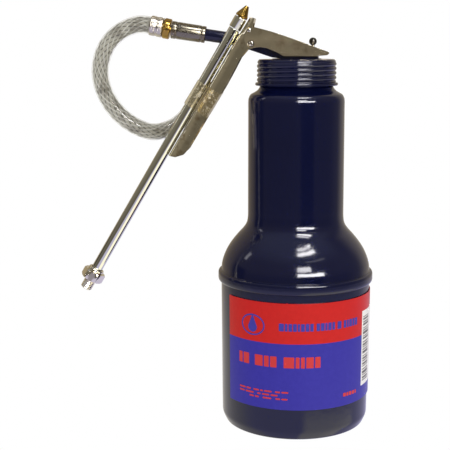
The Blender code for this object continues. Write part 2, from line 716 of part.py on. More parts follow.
# --- strap: clear band round the trigger and the spare spout ----------------
def hull(points):
    """Convex outline round flat points."""
    points = sorted(set(points))

    def half(ordered):
        chain = []
        for point in ordered:
            while len(chain) > 1 and (
                (chain[-1][0] - chain[-2][0]) * (point[1] - chain[-2][1])
                - (chain[-1][1] - chain[-2][1]) * (point[0] - chain[-2][0])
            ) <= 0:
                chain.pop()
            chain.append(point)
        return chain[:-1]

    return half(points) + half(points[::-1])


STRAP_MID = Vector((-45.7, 0, 162.4))       # on the web's outer face
STRAP_HALF = 6.5                            # half width of the band
STRAP_OUTER, STRAP_INNER = 0.95, 0.5        # offsets of its faces from what it wraps
CHANNEL_DEPTH = 6.6                         # of the trigger inside the band
LEVER_UP = WEB_DIR.normalized()
LEVER_BACK = Vector((LEVER_UP.z, 0, -LEVER_UP.x))   # from the web to the open side


def strap_loop(offset):
    """Outline round the channel (corners) and the spout, grown by an offset."""
    along = (STRAP_MID.z - SPOUT_FOOT.z) / SPOUT_DIR.z
    spout_depth = (Vector(on_spout(along)) - STRAP_MID).dot(LEVER_BACK)
    points = []
    for y, depth, radius in (
        (-LEVER_HALF, 0, 0), (LEVER_HALF, 0, 0),
        (-LEVER_HALF, CHANNEL_DEPTH, 0), (LEVER_HALF, CHANNEL_DEPTH, 0),
        (SPOUT_Y, spout_depth, SPOUT_R + 0.15),
    ):
        for k in range(12):
            angle = math.tau * (k + 0.5) / 12
            points.append((
                y + (radius + offset) * math.cos(angle),
                depth + (radius + offset) * math.sin(angle),
            ))
    return hull(points)


strap = slab(
    "spout_strap", [strap_loop(STRAP_OUTER), strap_loop(STRAP_INNER)],
    -STRAP_HALF, STRAP_HALF, TAPE,
)
# The loop was drawn in X and Z along Y; turn it to stand across the lever.
across_lever = Matrix((
    (0, LEVER_UP.x, LEVER_BACK.x),
    (1, 0, 0),
    (0, LEVER_UP.z, LEVER_BACK.z),
)).to_4x4()
strap.data.transform(Matrix.Translation(STRAP_MID * MM) @ across_lever)

# Turned pieces have no faces of their own before their modifiers, so they are passed over.
for part in PARTS.objects:
    if part.data.polygons:
        part.data.shade_smooth()
        part.data.set_sharp_from_angle(angle=math.radians(35))
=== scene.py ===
"""Hand pump oiler: a round can with a trigger pump, a flexible hose and a spare rigid spout.

Lengths are in millimetres unless said otherwise, and MM turns them into metres.  The
origin is under the can, Z is up and the near side is -Y.  The lever, the hose and the
spare spout reach out towards -X.
"""
import math

import bmesh
import bpy
import numpy as np
from mathutils import Matrix, Vector


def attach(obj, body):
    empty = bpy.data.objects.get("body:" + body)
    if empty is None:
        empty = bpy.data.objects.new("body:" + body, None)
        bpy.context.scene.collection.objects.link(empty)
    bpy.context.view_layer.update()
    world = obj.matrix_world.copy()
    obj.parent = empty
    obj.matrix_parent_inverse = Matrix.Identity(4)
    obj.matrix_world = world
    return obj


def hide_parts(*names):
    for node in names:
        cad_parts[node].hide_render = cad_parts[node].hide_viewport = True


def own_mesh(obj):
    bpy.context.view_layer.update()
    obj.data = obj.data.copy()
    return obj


MM = 0.001
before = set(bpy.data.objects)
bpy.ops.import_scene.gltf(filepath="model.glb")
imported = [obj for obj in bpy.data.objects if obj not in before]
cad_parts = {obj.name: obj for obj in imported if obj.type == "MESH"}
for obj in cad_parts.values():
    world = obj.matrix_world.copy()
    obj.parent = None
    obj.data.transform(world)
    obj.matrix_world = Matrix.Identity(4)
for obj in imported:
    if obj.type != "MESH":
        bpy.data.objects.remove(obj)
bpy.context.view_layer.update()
scene = bpy.context.scene


def unit(vector):
    vector = np.asarray(vector, float)
    return vector / np.linalg.norm(vector)


# --- shared dimensions --------------------------------------------------------
# Can wall: a radius at the foot, then a straight taper between two heights
BODY_LOW_R, BODY_TOP_R = 36.5, 36.9
WALL_LOW_R = BODY_LOW_R + 0.13
WALL_LOW_Z, WALL_HIGH_Z = 15.5, 68.3
BODY_RIM_Z = 76.2
BODY_SHEET = 0.8
NECK_R, MOUTH_R, MOUTH_Z = 23.5, 17.5, 168.6
PITCH = 2.2                     # screw thread of mouth and cap

# Pump and lever
PIVOT = np.array((-21.7, 0.0, 188.4))
RIVET_X, RIVET_Z = -22.6, 194.8
ROD_X, PISTON_Z = 7.76, 138.0
LEVER_HALF, EAR_HALF = 10.7, 12.2   # half widths along Y of trigger and lift arm
LEVER_SHEET = 1.2
WEB = np.array((0.518, 0.0, 0.855))  # up along the trigger's web
WEB_UP = unit(WEB)
WEB_INWARD = np.array((WEB_UP[2], 0.0, -WEB_UP[0]))   # square to the web, towards the can

# Outlet and hose
OUTLET = PIVOT + np.array((0.0, 0.0, 0.8))
OUTLET_SLOPE = math.radians(8.7)
OUTLET_DIR = np.array((-math.cos(OUTLET_SLOPE), 0.0, math.sin(OUTLET_SLOPE)))
KINK = OUTLET + OUTLET_DIR * 39.6
HOSE_SLOPE = math.radians(11.7)
HOSE_DIR = np.array((-math.cos(HOSE_SLOPE), 0.0, math.sin(HOSE_SLOPE)))

# Spare spout
SPOUT_FOOT = np.array((-105.2, -6.0, 67.3))
SPOUT_DIR = np.array((0.588, 0.0, 1.0)) / math.hypot(0.588, 1.0)


# --- material helpers ---------------------------------------------------------
def scaled(colour, factor):
    return tuple(channel * factor for channel in colour)


class Graph:
    """Short calls for the shader nodes used below."""

    def __init__(self, tree):
        tree.nodes.clear()
        self.nodes = tree.nodes
        self.links = tree.links

    def fill(self, node, inputs):
        """Set or link inputs; None leaves one alone, colours are given as RGB."""
        for key, value in inputs.items():
            socket = node.inputs[key]
            if isinstance(value, bpy.types.NodeSocket):
                self.links.new(value, socket)
            elif value is not None:
                socket.default_value = (*value, 1.0) if socket.type == "RGBA" else value

    def add(self, kind, inputs=None, **props):
        node = self.nodes.new(kind)
        for key, value in props.items():
            setattr(node, key, value)
        self.fill(node, inputs or {})
        return node

    def math(self, operation, first, second=None, clamp=False):
        inputs = {0: first, 1: second}
        return self.add("ShaderNodeMath", inputs, operation=operation, use_clamp=clamp).outputs[0]

    def step(self, value, low, high, out_low=0.0, out_high=1.0, smooth=True):
        """Ramp from out_low at low to out_high at high."""
        inputs = {"Value": value, "From Min": low, "From Max": high,
                  "To Min": out_low, "To Max": out_high}
        kind = "SMOOTHSTEP" if smooth else "LINEAR"
        node = self.add("ShaderNodeMapRange", inputs, clamp=True, interpolation_type=kind)
        return node.outputs["Result"]

    def window(self, value, low, high, soft):
        """One between low and high, zero outside, with soft edges."""
        rise = self.step(value, low - soft, low + soft)
        fall = self.step(value, high - soft, high + soft, out_low=1.0, out_high=0.0)
        return self.math("MULTIPLY", rise, fall)

    def mix(self, first, second, factor):
        inputs = {0: factor, 6: first, 7: second}
        return self.add("ShaderNodeMix", inputs, data_type="RGBA").outputs[2]

    def noise(self, scale, detail=2.0, rough=0.5, distortion=0.0):
        vector = self.add("ShaderNodeTexCoord").outputs["Object"]
        inputs = {"Vector": vector, "Scale": scale, "Detail": detail,
                  "Roughness": rough, "Distortion": distortion}
        return self.add("ShaderNodeTexNoise", inputs).outputs[0]

    def bump(self, height, distance, normal=None):
        """Bumped normal; distance is in metres."""
        inputs = {"Distance": distance, "Height": height, "Normal": normal}
        return self.add("ShaderNodeBump", inputs).outputs["Normal"]


def material(name):
    mat = bpy.data.materials.new(name)
    mat.use_nodes = True
    graph = Graph(mat.node_tree)
    output = graph.add("ShaderNodeOutputMaterial")
    shader = graph.add("ShaderNodeBsdfPrincipled")
    graph.links.new(shader.outputs[0], output.inputs["Surface"])
    return mat, graph, shader, output


# --- materials ----------------------------------------------------------------
def enamel(name, colour):
    """Glossy paint with a faint orange peel and fine dust."""
    mat, graph, shader, _ = material(name)
    cloud = graph.noise(scale=60.0, detail=3.0)
    dust = graph.noise(scale=900.0, detail=4.0)
    graph.fill(shader, {
        "Base Color": graph.mix(scaled(colour, 0.85), scaled(colour, 1.15), cloud),
        "Roughness": graph.step(dust, low=0.3, high=0.75, out_low=0.08, out_high=0.15,
                                smooth=False),
        "IOR": 1.5,
        "Normal": graph.bump(graph.noise(scale=420.0, detail=1.0), distance=0.00002)})
    return mat


def metal(name, colour, rough, wave, wave_scale, stain=None, stain_scale=160.0, lean=None):
    """Metal with slow waves (depth in metres), uneven gloss and stains.

    lean is added to the surface normal before shading.
    """
    mat, graph, shader, _ = material(name)
    base = colour
    if stain is not None:
        patch = graph.step(graph.noise(stain_scale, detail=5.0, rough=0.6), low=0.52, high=0.72)
        base = graph.mix(colour, stain, patch)
    wear = graph.noise(scale=300.0, detail=4.0, rough=0.6)
    graph.fill(shader, {
        "Metallic": 1.0,
        "Base Color": base,
        "Roughness": graph.step(wear, low=0.35, high=0.7, out_low=rough * 0.7,
                                out_high=rough * 1.6, smooth=False)})
    start = None
    if lean is not None:
        normal = graph.add("ShaderNodeNewGeometry").outputs["Normal"]
        leaning = graph.add("ShaderNodeVectorMath", {0: normal, 1: lean}, operation="ADD")
        start = graph.add("ShaderNodeVectorMath", {0: leaning.outputs[0]},
                          operation="NORMALIZE").outputs[0]
    waves = graph.noise(wave_scale, detail=1.0)
    graph.fill(shader, {"Normal": graph.bump(waves, distance=wave, normal=start)})
    return mat


def plain(name, colour, rough, bump_scale=900.0, bump=0.00002, patch=None):
    """Slightly clouded, bumped surface (depth in metres) with optional patches of colour."""
    mat, graph, shader, _ = material(name)
    cloud = graph.noise(scale=220.0, detail=3.0)
    base = graph.mix(scaled(colour, 0.88), scaled(colour, 1.08), cloud)
    if patch is not None:
        spots = graph.noise(scale=190.0, detail=3.0, rough=0.6)
        base = graph.mix(base, patch, graph.step(spots, low=0.48, high=0.64))
    graph.fill(shader, {"Base Color": base, "Roughness": rough, "IOR": 1.45,
                        "Normal": graph.bump(graph.noise(bump_scale), distance=bump)})
    return mat


def label_film():
    """Two-colour printed film: red above, blue below, split by height in metres."""
    mat, graph, shader, _ = material("label_film")
    position = graph.add("ShaderNodeNewGeometry").outputs["Position"]
    height = graph.add("ShaderNodeSeparateXYZ", {0: position}).outputs["Z"]
    split = graph.step(height, low=0.0482, high=0.0484, smooth=False)
    cloud = graph.noise(scale=400.0, detail=4.0, rough=0.7)
    blue = graph.mix((0.030, 0.024, 0.29), (0.044, 0.036, 0.37), cloud)
    red = graph.mix((0.50, 0.010, 0.008), (0.62, 0.016, 0.011), cloud)
    graph.fill(shader, {
        "Base Color": graph.mix(blue, red, split), "Roughness": 0.28, "IOR": 1.3,
        "Normal": graph.bump(graph.noise(scale=260.0), distance=0.00002)})
    return mat


def clear_vinyl():
    mat, graph, shader, _ = material("clear_vinyl")
    graph.fill(shader, {
        "Base Color": (0.93, 0.93, 0.9), "Transmission Weight": 1.0, "IOR": 1.36,
        "Specular IOR Level": 1.0, "Roughness": 0.03,
        "Normal": graph.bump(graph.noise(scale=260.0, detail=1.0), distance=0.00004)})
    return mat


def clear_tape():
    """Thin film: mostly see-through, with bright creases."""
    mat, graph, shader, output = material("clear_tape")
    crease = graph.noise(scale=520.0, detail=3.0, rough=0.6, distortion=1.2)
    graph.fill(shader, {"Base Color": (0.9, 0.82, 0.62), "Roughness": 0.1,
                        "Normal": graph.bump(crease, distance=0.0004)})
    clear = graph.add("ShaderNodeBsdfTransparent", {"Color": (0.995, 0.98, 0.945)})
    fresnel = graph.add("ShaderNodeFresnel", {"IOR": 1.3})
    milky = graph.step(crease, low=0.54, high=0.66, out_high=0.35)
    opacity = graph.math("ADD", fresnel.outputs[0], milky, clamp=True)
    film = graph.add("ShaderNodeMixShader",
                     {0: opacity, 1: clear.outputs[0], 2: shader.outputs[0]})
    graph.fill(output, {"Surface": film.outputs[0]})
    return mat


NAVY = enamel("navy_enamel", (0.0025, 0.0040, 0.0262))
NICKEL = metal("nickel_sheet", (0.85, 0.79, 0.61), rough=0.06, wave=0.00080, wave_scale=80.0,
               stain=(0.55, 0.45, 0.3))
NICKEL_ARM = metal("nickel_arm", (0.93, 0.85, 0.66), rough=0.07, wave=0.00130,
                   wave_scale=75.0, stain=(0.7, 0.58, 0.4), lean=(-0.17, 0.0, 0.02))
NICKEL_ROUND = metal("nickel_round", (0.7, 0.7, 0.6), rough=0.05, wave=0.000006,
                     wave_scale=120.0)
NICKEL_CAST = metal("nickel_turned", (0.22, 0.2, 0.15), rough=0.2, wave=0.000006,
                    wave_scale=500.0, stain=(0.16, 0.12, 0.06), stain_scale=420.0)
NICKEL_HEX = metal("nickel_hexagon", (0.82, 0.78, 0.64), rough=0.12, wave=0.000002,
                   wave_scale=300.0)
FERRULE = metal("ferrule_steel", (0.6, 0.56, 0.47), rough=0.3, wave=0.000001,
                wave_scale=300.0)
STEEL = metal("bright_steel", (0.8, 0.77, 0.7), rough=0.17, wave=0.000002, wave_scale=200.0)
DARK_STEEL = metal("darkened_steel", (0.07, 0.065, 0.055), rough=0.12, wave=0.000003,
                   wave_scale=300.0)
BRASS = metal("brass", (0.4, 0.25, 0.055), rough=0.16, wave=0.000003, wave_scale=300.0,
              stain=(0.38, 0.22, 0.045), stain_scale=500.0)
RUBBER = plain("black_rubber", (0.02, 0.02, 0.02), rough=0.6)
# Near-black core: painted shade standing in for the shaded inside of the clear hose, seen between
# the yarns
LINER_PAINTED_SHADE = plain("hose_core", (0.02, 0.02, 0.017), rough=0.5)
BRAID = plain("braid_yarn", (0.66, 0.63, 0.54), rough=0.2, bump_scale=700.0, bump=0.0001,
              patch=(0.38, 0.35, 0.29))
BRAID_CROSS = plain("braid_cross_yarn", (0.9, 0.88, 0.82), rough=0.15, bump_scale=700.0,
                    bump=0.0001, patch=(0.55, 0.52, 0.46))
INK_BLUE = plain("ink_blue", (0.04, 0.035, 0.33), rough=0.3)
INK_RED = plain("ink_red", (0.6, 0.03, 0.03), rough=0.3)
INK_WHITE = plain("ink_white", (0.86, 0.84, 0.8), rough=0.35)
INK_BLACK = plain("ink_black", (0.12, 0.11, 0.1), rough=0.35)
LABEL = label_film()
VINYL = clear_vinyl()
TAPE = clear_tape()


# --- mesh helpers -------------------------------------------------------------
def closed_mesh(name, parts):
    """Mesh in metres from (points, faces) parts, its closed bodies facing out."""
    verts, faces = [], []
    for points, polygons in parts:
        base = len(verts)
        verts.extend((np.asarray(points, float) * MM).tolist())
        faces.extend([[i + base for i in face] for face in polygons])
    mesh = bpy.data.meshes.new(name)
    mesh.from_pydata(verts, [], faces)
    bm = bmesh.new()
    bm.from_mesh(mesh)
    bmesh.ops.recalc_face_normals(bm, faces=bm.faces)
    bm.to_mesh(mesh)
    bm.free()
    return mesh


def dress(ob, mat, smooth):
    """Give one material, and smooth shading up to an angle in degrees."""
    ob.data.materials.clear()
    ob.data.materials.append(mat)
    ob.data.shade_smooth()
    ob.data.set_sharp_from_angle(angle=math.radians(smooth))


def settle(ob, mat, body, slot, *replaced, smooth=38.0):
    """Finish an object, link it, hang it on its body and hide the frame parts it replaces."""
    dress(ob, mat, smooth)
    scene.collection.objects.link(ob)
    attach(ob, body)
    if replaced:
        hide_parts(*replaced)
    return ob


def piece(name, parts, mat, body, slot, *replaced, smooth=38.0):
    ob = bpy.data.objects.new(name, closed_mesh(name, parts))
    return settle(ob, mat, body, slot, *replaced, smooth=smooth)


def flat_faces(ob):
    """Keep broad faces flat in the light, with only their broken edges rounded."""
    weigh = ob.modifiers.new("Faces", "WEIGHTED_NORMAL")
    weigh.weight = 100
    weigh.keep_sharp = True


def sideways(axis):
    """Unit vector square to an axis, and to Y unless the axis runs along Y."""
    side = np.cross((0.0, 1.0, 0.0), axis)
    if np.linalg.norm(side) < 0.1:
        side = np.cross((1.0, 0.0, 0.0), axis)
    return unit(side)


def basis(axis):
    z = unit(axis)
    x = sideways(z)
    return x, np.cross(z, x), z


def lathe(outline, steps, at=(0, 0, 0), axis=(0, 0, 1), closed=True, bend=None):
    """Turn a (radius, height) outline; bend(i, radius, height, angle) may change the radius."""
    x, y, z = basis(axis)
    at = np.asarray(at, float)
    points, rows = [], []
    for i, (radius, height) in enumerate(outline):
        if radius < 1e-6:
            rows.append([len(points)] * steps)
            points.append(at + z * height)
            continue
        row = []
        for j in range(steps):
            angle = math.tau * j / steps
            reach = radius if bend is None else bend(i, radius, height, angle)
            row.append(len(points))
            points.append(at + z * height + (x * math.cos(angle) + y * math.sin(angle)) * reach)
        rows.append(row)
    faces = []
    for i in range(len(rows) if closed else len(rows) - 1):
        here, there = rows[i], rows[(i + 1) % len(rows)]
        for j in range(steps):
            k = (j + 1) % steps
            face = [here[j], here[k], there[k], there[j]]
            # Points shared on the axis turn quads into triangles
            face = [p for m, p in enumerate(face) if p != face[m - 1]]
            if len(set(face)) > 2:
                faces.append(face)
    return points, faces


def rounded(outline, radius, segments, closed=True):
    """Outline with its corners drawn round; radius is a number, or a dict by corner."""
    points = [np.asarray(p, float) for p in outline]
    count = len(points)
    result = []
    for i, corner in enumerate(points):
        if not closed and i in (0, count - 1):
            result.append(tuple(corner))
            continue
        before, after = points[i - 1] - corner, points[(i + 1) % count] - corner
        before_len, after_len = np.linalg.norm(before), np.linalg.norm(after)
        cosine = float(before @ after / (before_len * after_len))
        turn = math.acos(max(-1, min(1, cosine)))
        size = radius.get(i, 0) if isinstance(radius, dict) else radius
        reach = min(size / max(math.tan(turn / 2), 1e-3), 0.45 * before_len, 0.45 * after_len)
        if reach < 1e-4 or turn > math.radians(176):
            result.append(tuple(corner))
            continue
        start = corner + before / before_len * reach
        end = corner + after / after_len * reach
        for k in range(segments + 1):
            t = k / segments
            result.append(tuple((1 - t) ** 2 * start + 2 * t * (1 - t) * corner + t * t * end))
    return result


def catmull(knots, per_span):
    """Smooth curve through the knots."""
    knots = [np.asarray(knot, float) for knot in knots]
    knots = [knots[0] * 2 - knots[1]] + knots + [knots[-1] * 2 - knots[-2]]
    path = []
    for i in range(1, len(knots) - 2):
        before, start, end, after = knots[i - 1:i + 3]
        for j in range(per_span):
            t = j / per_span
            path.append((2 * start + (end - before) * t
                         + (2 * before - 5 * start + 4 * end - after) * t * t
                         + (3 * start - before - 3 * end + after) * t ** 3) / 2)
    path.append(knots[-2])
    return np.array(path)


def tangents(path):
    tangent = np.gradient(path, axis=0)
    return tangent / np.linalg.norm(tangent, axis=1)[:, None]


def transport(path):
    """Unit normal and binormal along a path, without twist."""
    tangent = tangents(path)
    normal = np.zeros_like(path)
    normal[0] = -sideways(tangent[0])
    for i in range(1, len(path)):
        normal[i] = unit(normal[i - 1] - tangent[i] * (normal[i - 1] @ tangent[i]))
    return normal, np.cross(tangent, normal)


def skin(rings, looped=False):
    """Closed skin through rings of points: flat ends, or the last ring joined to the first."""
    count, sides = rings.shape[:2]
    faces = []
    for i in range(count if looped else count - 1):
        n = (i + 1) % count
        for j in range(sides):
            k = (j + 1) % sides
            faces.append([i * sides + j, i * sides + k, n * sides + k, n * sides + j])
    if not looped:
        faces.append(list(range(sides)))
        faces.append([(count - 1) * sides + j for j in range(sides)])
    return rings.reshape(-1, 3).tolist(), faces


def tube(path, radius, sides):
    """Round bar along a path."""
    path = np.asarray(path, float)
    normal, binormal = transport(path)
    angle = np.arange(sides) * math.tau / sides
    return skin(path[:, None] + radius * (normal[:, None] * np.cos(angle)[None, :, None]
                                          + binormal[:, None] * np.sin(angle)[None, :, None]))


# --- solid helpers ------------------------------------------------------------
def linked(name, mesh):
    ob = bpy.data.objects.new(name, mesh)
    scene.collection.objects.link(ob)
    return ob


def slab(name, outline, y_low, y_high, round_runs=(), radius=0.0, segments=5):
    """(x, z) outline drawn out along Y; the long edges of the round_runs are rolled."""
    bm = bmesh.new()
    low = [bm.verts.new((x * MM, y_low * MM, z * MM)) for x, z in outline]
    high = [bm.verts.new((x * MM, y_high * MM, z * MM)) for x, z in outline]
    count = len(outline)
    for i in range(count):
        j = (i + 1) % count
        bm.faces.new((low[i], low[j], high[j], high[i]))
    bm.faces.new(low[::-1])
    bm.faces.new(high)
    bmesh.ops.recalc_face_normals(bm, faces=bm.faces)
    if radius:
        edges = [bm.edges.get((side[i % count], side[(i + 1) % count]))
                 for side in (low, high) for i in round_runs]
        bmesh.ops.bevel(bm, geom=edges, offset=radius * MM, offset_type="OFFSET",
                        segments=segments, profile=0.5, affect="EDGES", clamp_overlap=True)
    mesh = bpy.data.meshes.new(name)
    bm.to_mesh(mesh)
    bm.free()
    return linked(name, mesh)


def cross_hole(x, z, radius, half):
    """Round cutter along Y."""
    ends = np.array([(x, -half, z), (x, half, z)], float)
    return linked("cross_hole", closed_mesh("cross_hole", [tube(ends, radius, 32)]))


def cut_block(name, half_x, half_z, half_y, centre, tilt):
    """Block cutter tilted about Y and put at a centre in metres."""
    outline = [(-half_x, -half_z), (half_x, -half_z), (half_x, half_z), (-half_x, half_z)]
    block = slab(name, outline, -half_y, half_y)
    block.data.transform(Matrix.Translation(centre) @ Matrix.Rotation(tilt, 4, "Y"))
    return block


def boolean(ob, tool, operation):
    step = ob.modifiers.new("Boolean", "BOOLEAN")
    step.operation = operation
    step.object = tool
    step.solver = "EXACT"


def baked(ob, tools):
    """Mesh of the solid after its modifiers; the solid and its tools go."""
    bpy.context.view_layer.update()
    depsgraph = bpy.context.evaluated_depsgraph_get()
    mesh = bpy.data.meshes.new_from_object(ob.evaluated_get(depsgraph))
    for used in (ob, *tools):
        bpy.data.objects.remove(used, do_unlink=True)
    return mesh


def meet(ob, tool):
    """The solid shared by two."""
    name = ob.name
    boolean(ob, tool, "INTERSECT")
    return linked(name, baked(ob, [tool]))


def carve(ob, cutters, edge):
    """Cut the tools out of a solid and break its sharp edges; the result isn't linked."""
    name = ob.name
    for tool in cutters:
        boolean(ob, tool, "DIFFERENCE")
    weld = ob.modifiers.new("Weld", "WELD")
    weld.merge_threshold = 1e-6
    flat = ob.modifiers.new("Flat", "DECIMATE")
    flat.decimate_type = "DISSOLVE"
    flat.angle_limit = math.radians(0.5)
    soften(ob, edge, 32)
    return bpy.data.objects.new(name, baked(ob, cutters))


def soften(ob, width, limit):
    """Bevel the edges sharper than a limit in degrees."""
    soft = ob.modifiers.new("Edges", "BEVEL")
    soft.width = width * MM
    soft.segments = 2
    soft.limit_method = "ANGLE"
    soft.angle_limit = math.radians(limit)


def channel(name, path, web, depth, half, rolls, segments=10):
    """Prism along a web line of (x, z), from web to depth inwards and half to either side.

    rolls gives (depth, width, straight) of the web's corners at each point of the path.
    """
    path = [np.asarray(p, float) for p in path]
    ways = [unit(end - start) for start, end in zip(path, path[1:])]
    rings = []
    for i, (x, z) in enumerate(path):
        before, after = ways[max(i - 1, 0)], ways[min(i, len(ways) - 1)]
        along = unit(before + after)
        inward = np.array((along[1], -along[0])) / max(float(along @ before), 0.5)
        roll_depth, roll_width, straight = rolls[i]
        corner = []
        for k in range(segments + 1):
            t = k / segments
            angle = t * math.pi / 2
            down, across = ((1 - t, t) if straight
                            else (1 - math.sin(angle), 1 - math.cos(angle)))
            corner.append((web + roll_depth * down, roll_width * across))
        section = ([(depth, -half)] + [(v, -half + y) for v, y in corner]
                   + [(v, half - y) for v, y in corner[::-1]] + [(depth, half)])
        rings.append([(x + inward[0] * v, y, z + inward[1] * v) for v, y in section])
    return linked(name, closed_mesh(name, [skin(np.array(rings))]))


# --- can body -----------------------------------------------------------------
# (radius, height) down the outside, then up the inside
body_outer = rounded(
    [(36.9, BODY_RIM_Z), (BODY_TOP_R, WALL_HIGH_Z), (WALL_LOW_R, WALL_LOW_Z),
     (BODY_LOW_R, 4.2), (34.6, 0.0), (0.0, 0.0)],
    {3: 6.0, 4: 1.6}, segments=6, closed=False)
body_inner = [(0.0, BODY_SHEET), (33.6, BODY_SHEET), (35.2, 2.4), (35.7, 4.6),
              (35.8, WALL_LOW_Z), (36.1, WALL_HIGH_Z), (36.1, BODY_RIM_Z)]
piece("oiler_can_body", [lathe(body_outer + body_inner, 144)], NAVY, "can", "navy_paint",
      "can_body", smooth=50)

# --- can shoulder: bead, dome, neck and threaded mouth ------------------------
# All (radius, height)
DOME = [(36.9, 77.6), (36.5, 80.9), (35.4, 84.4), (33.8, 87.8), (31.6, 91.2), (28.7, 94.8),
        (25.9, 97.9), (24.25, 100.6), (23.66, 104.0), (23.6, 108.0)]
NECK_TOP = [(NECK_R, 157.0), (NECK_R, 160.6), (23.2, 162.4), (22.3, 163.9), (20.6, 164.9),
            (19.2, 165.8), (18.2, 167.0), (MOUTH_R, MOUTH_Z)]
BEAD = [(36.98, 77.3), (37.15, 77.05), (37.75, 76.9), (38.2, 76.55), (38.42, 75.9),
        (38.45, 74.9), (38.45, 73.7), (38.38, 72.8), (38.1, 72.2), (37.7, 71.85),
        (37.3, 71.7), (37.1, 71.6)]
SHOULDER_INNER = [
    (37.05, 71.6), (37.05, 76.4), (36.1, 77.4), *[(r - 1.0, z - 0.3) for r, z in DOME[::2]],
    (22.6, 161.0), (21.6, 163.0), (19.9, 164.0), (MOUTH_R, 166.4), (16.7, MOUTH_Z),
    (16.7, 176.6)]
mouth = [(MOUTH_R, MOUTH_Z + 0.2 * k) for k in range(1, 40)] + [(17.2, 176.6)]
# The dome's curve starts under the bead, which hides its first two points
dome = catmull([(37.05, 76.9)] + DOME, 5)[2:]
shoulder_outer = (mouth[::-1] + list(catmull(NECK_TOP, 4)[::-1]) + list(dome[::-1])
                  + list(catmull(BEAD, 3)))

MOUTH_THREAD_LOW, MOUTH_THREAD_HIGH, MOUTH_THREAD_DEPTH, THREAD_FADE = 169.8, 176.3, 0.3, 0.8


def mouth_thread(i, radius, height, angle):
    if i >= len(mouth) or height <= MOUTH_THREAD_LOW:
        return radius
    fade = min(1.0, (height - MOUTH_THREAD_LOW) / THREAD_FADE,
               max(0.0, (MOUTH_THREAD_HIGH - height) / THREAD_FADE))
    wave = 0.5 + 0.5 * math.cos(math.tau * (height / PITCH) - angle)
    return radius + MOUTH_THREAD_DEPTH * fade * wave


piece("oiler_can_shoulder", [lathe(shoulder_outer + SHOULDER_INNER, 144, bend=mouth_thread)],
      NAVY, "can", "navy_paint", "can_shoulder", smooth=50)

# --- label --------------------------------------------------------------------
LABEL_ARC_R = 37.35          # turns a length round the can into an angle
FILM_LIFT = (0.3, 0.56)      # low and high faces of each layer, off the can wall
INK_LIFT = (0.5, 0.64)
PANEL_LIFT = (0.5, 0.62)
STRIPE_LIFT = (0.58, 0.68)


def on_can(along, z, lift):
    """Point over the can wall, a length round from the near side (+ towards +X) and z up."""
    taper_r = (BODY_TOP_R - WALL_LOW_R) * (z - WALL_LOW_Z) / (WALL_HIGH_Z - WALL_LOW_Z)
    radius = WALL_LOW_R + taper_r + lift
    angle = along / LABEL_ARC_R
    return (radius * math.sin(angle), -radius * math.cos(angle), z)


def sheet(columns, lifts):
    """Thin closed patch wrapped on the can, from columns of (along, z_low, z_high)."""
    low, high = lifts
    points, faces = [], []
    for along, z_low, z_high in columns:
        points += [on_can(along, z_low, low), on_can(along, z_high, low),
                   on_can(along, z_high, high), on_can(along, z_low, high)]
    last = 4 * (len(columns) - 1)
    for here in range(0, last, 4):
        there = here + 4
        for j in range(4):
            k = (j + 1) % 4
            faces.append([here + j, there + j, there + k, here + k])
    faces.append([0, 1, 2, 3])
    faces.append([last + j for j in (3, 2, 1, 0)])
    return points, faces


def bar_patch(start, end, z_low, z_high):
    """Printed block with rounded corners."""
    corner = min(0.28, (end - start) / 2 - 1e-3, (z_high - z_low) / 2 - 1e-3)
    # (share of the corner's width, drop in height) from the block's end inwards
    turns = [(k / 3, corner * (1 - math.sqrt(max(0.0, 1 - (1 - k / 3) ** 2))))
             for k in range(4)]
    columns = [(start + corner * t, z_low + drop, z_high - drop) for t, drop in turns]
    spans = max(1, int((end - start) / 1.5))
    columns += [(start + corner + (end - start - 2 * corner) * k / spans, z_low, z_high)
                for k in range(1, spans)]
    columns += [(end - corner * t, z_low + drop, z_high - drop) for t, drop in turns[::-1]]
    return sheet(columns, INK_LIFT)


def ring_patch(centre, centre_z, half_width, half_height, line):
    """Printed oval line."""
    low, high = INK_LIFT
    rings = []
    for k in range(64):
        angle = math.tau * k / 64
        cosine, sine = math.cos(angle), math.sin(angle)
        outside = (centre + half_width * cosine, centre_z + half_height * sine)
        inside = (centre + (half_width - line) * cosine,
                  centre_z + (half_height - line) * sine)
        rings.append([on_can(*outside, low), on_can(*outside, high),
                      on_can(*inside, high), on_can(*inside, low)])
    return skin(np.array(rings), looped=True)


def drop_patch(centre, centre_z, radius):
    """Printed oil drop: a round belly drawn up to a point."""
    columns = []
    for k in range(25):
        across = radius * math.sin((-1 + 2 * k / 24) * math.pi / 2)
        belly = math.sqrt(max(0.0, radius * radius - across * across))
        top = belly
        if abs(across) <= 0.9 * radius:
            point = (1 - abs(across) / (0.98 * radius)) ** 1.15
            top = 2.1 * radius * point + 0.45 * belly
        columns.append((centre + across, centre_z - belly - 1e-3,
                        centre_z + max(top, belly * 0.3) + 1e-3))
    return sheet(columns, INK_LIFT)


def blocks(start, end, z_low, z_high, words, gap, space):
    """A line of blocks for letters, fitted between start and end.

    words holds the relative widths of each word's letters; gap parts letters, space words.
    """
    total = sum(sum(word) + gap * (len(word) - 1) for word in words) + space * (len(words) - 1)
    fit = (end - start) / total
    patches, along = [], start
    for word in words:
        for width in word:
            patches.append(bar_patch(along, along + width * fit, z_low, z_high))
            along += (width + gap) * fit
        along += (space - gap) * fit
    return patches


film = [(along, 15.7, 68.0) for along in np.linspace(
    math.radians(-58) * LABEL_ARC_R, math.radians(105) * LABEL_ARC_R, 96)]
piece("front_label_film", [sheet(film, FILM_LIFT)], LABEL, "can", "printed_film",
      "front_label", smooth=30)

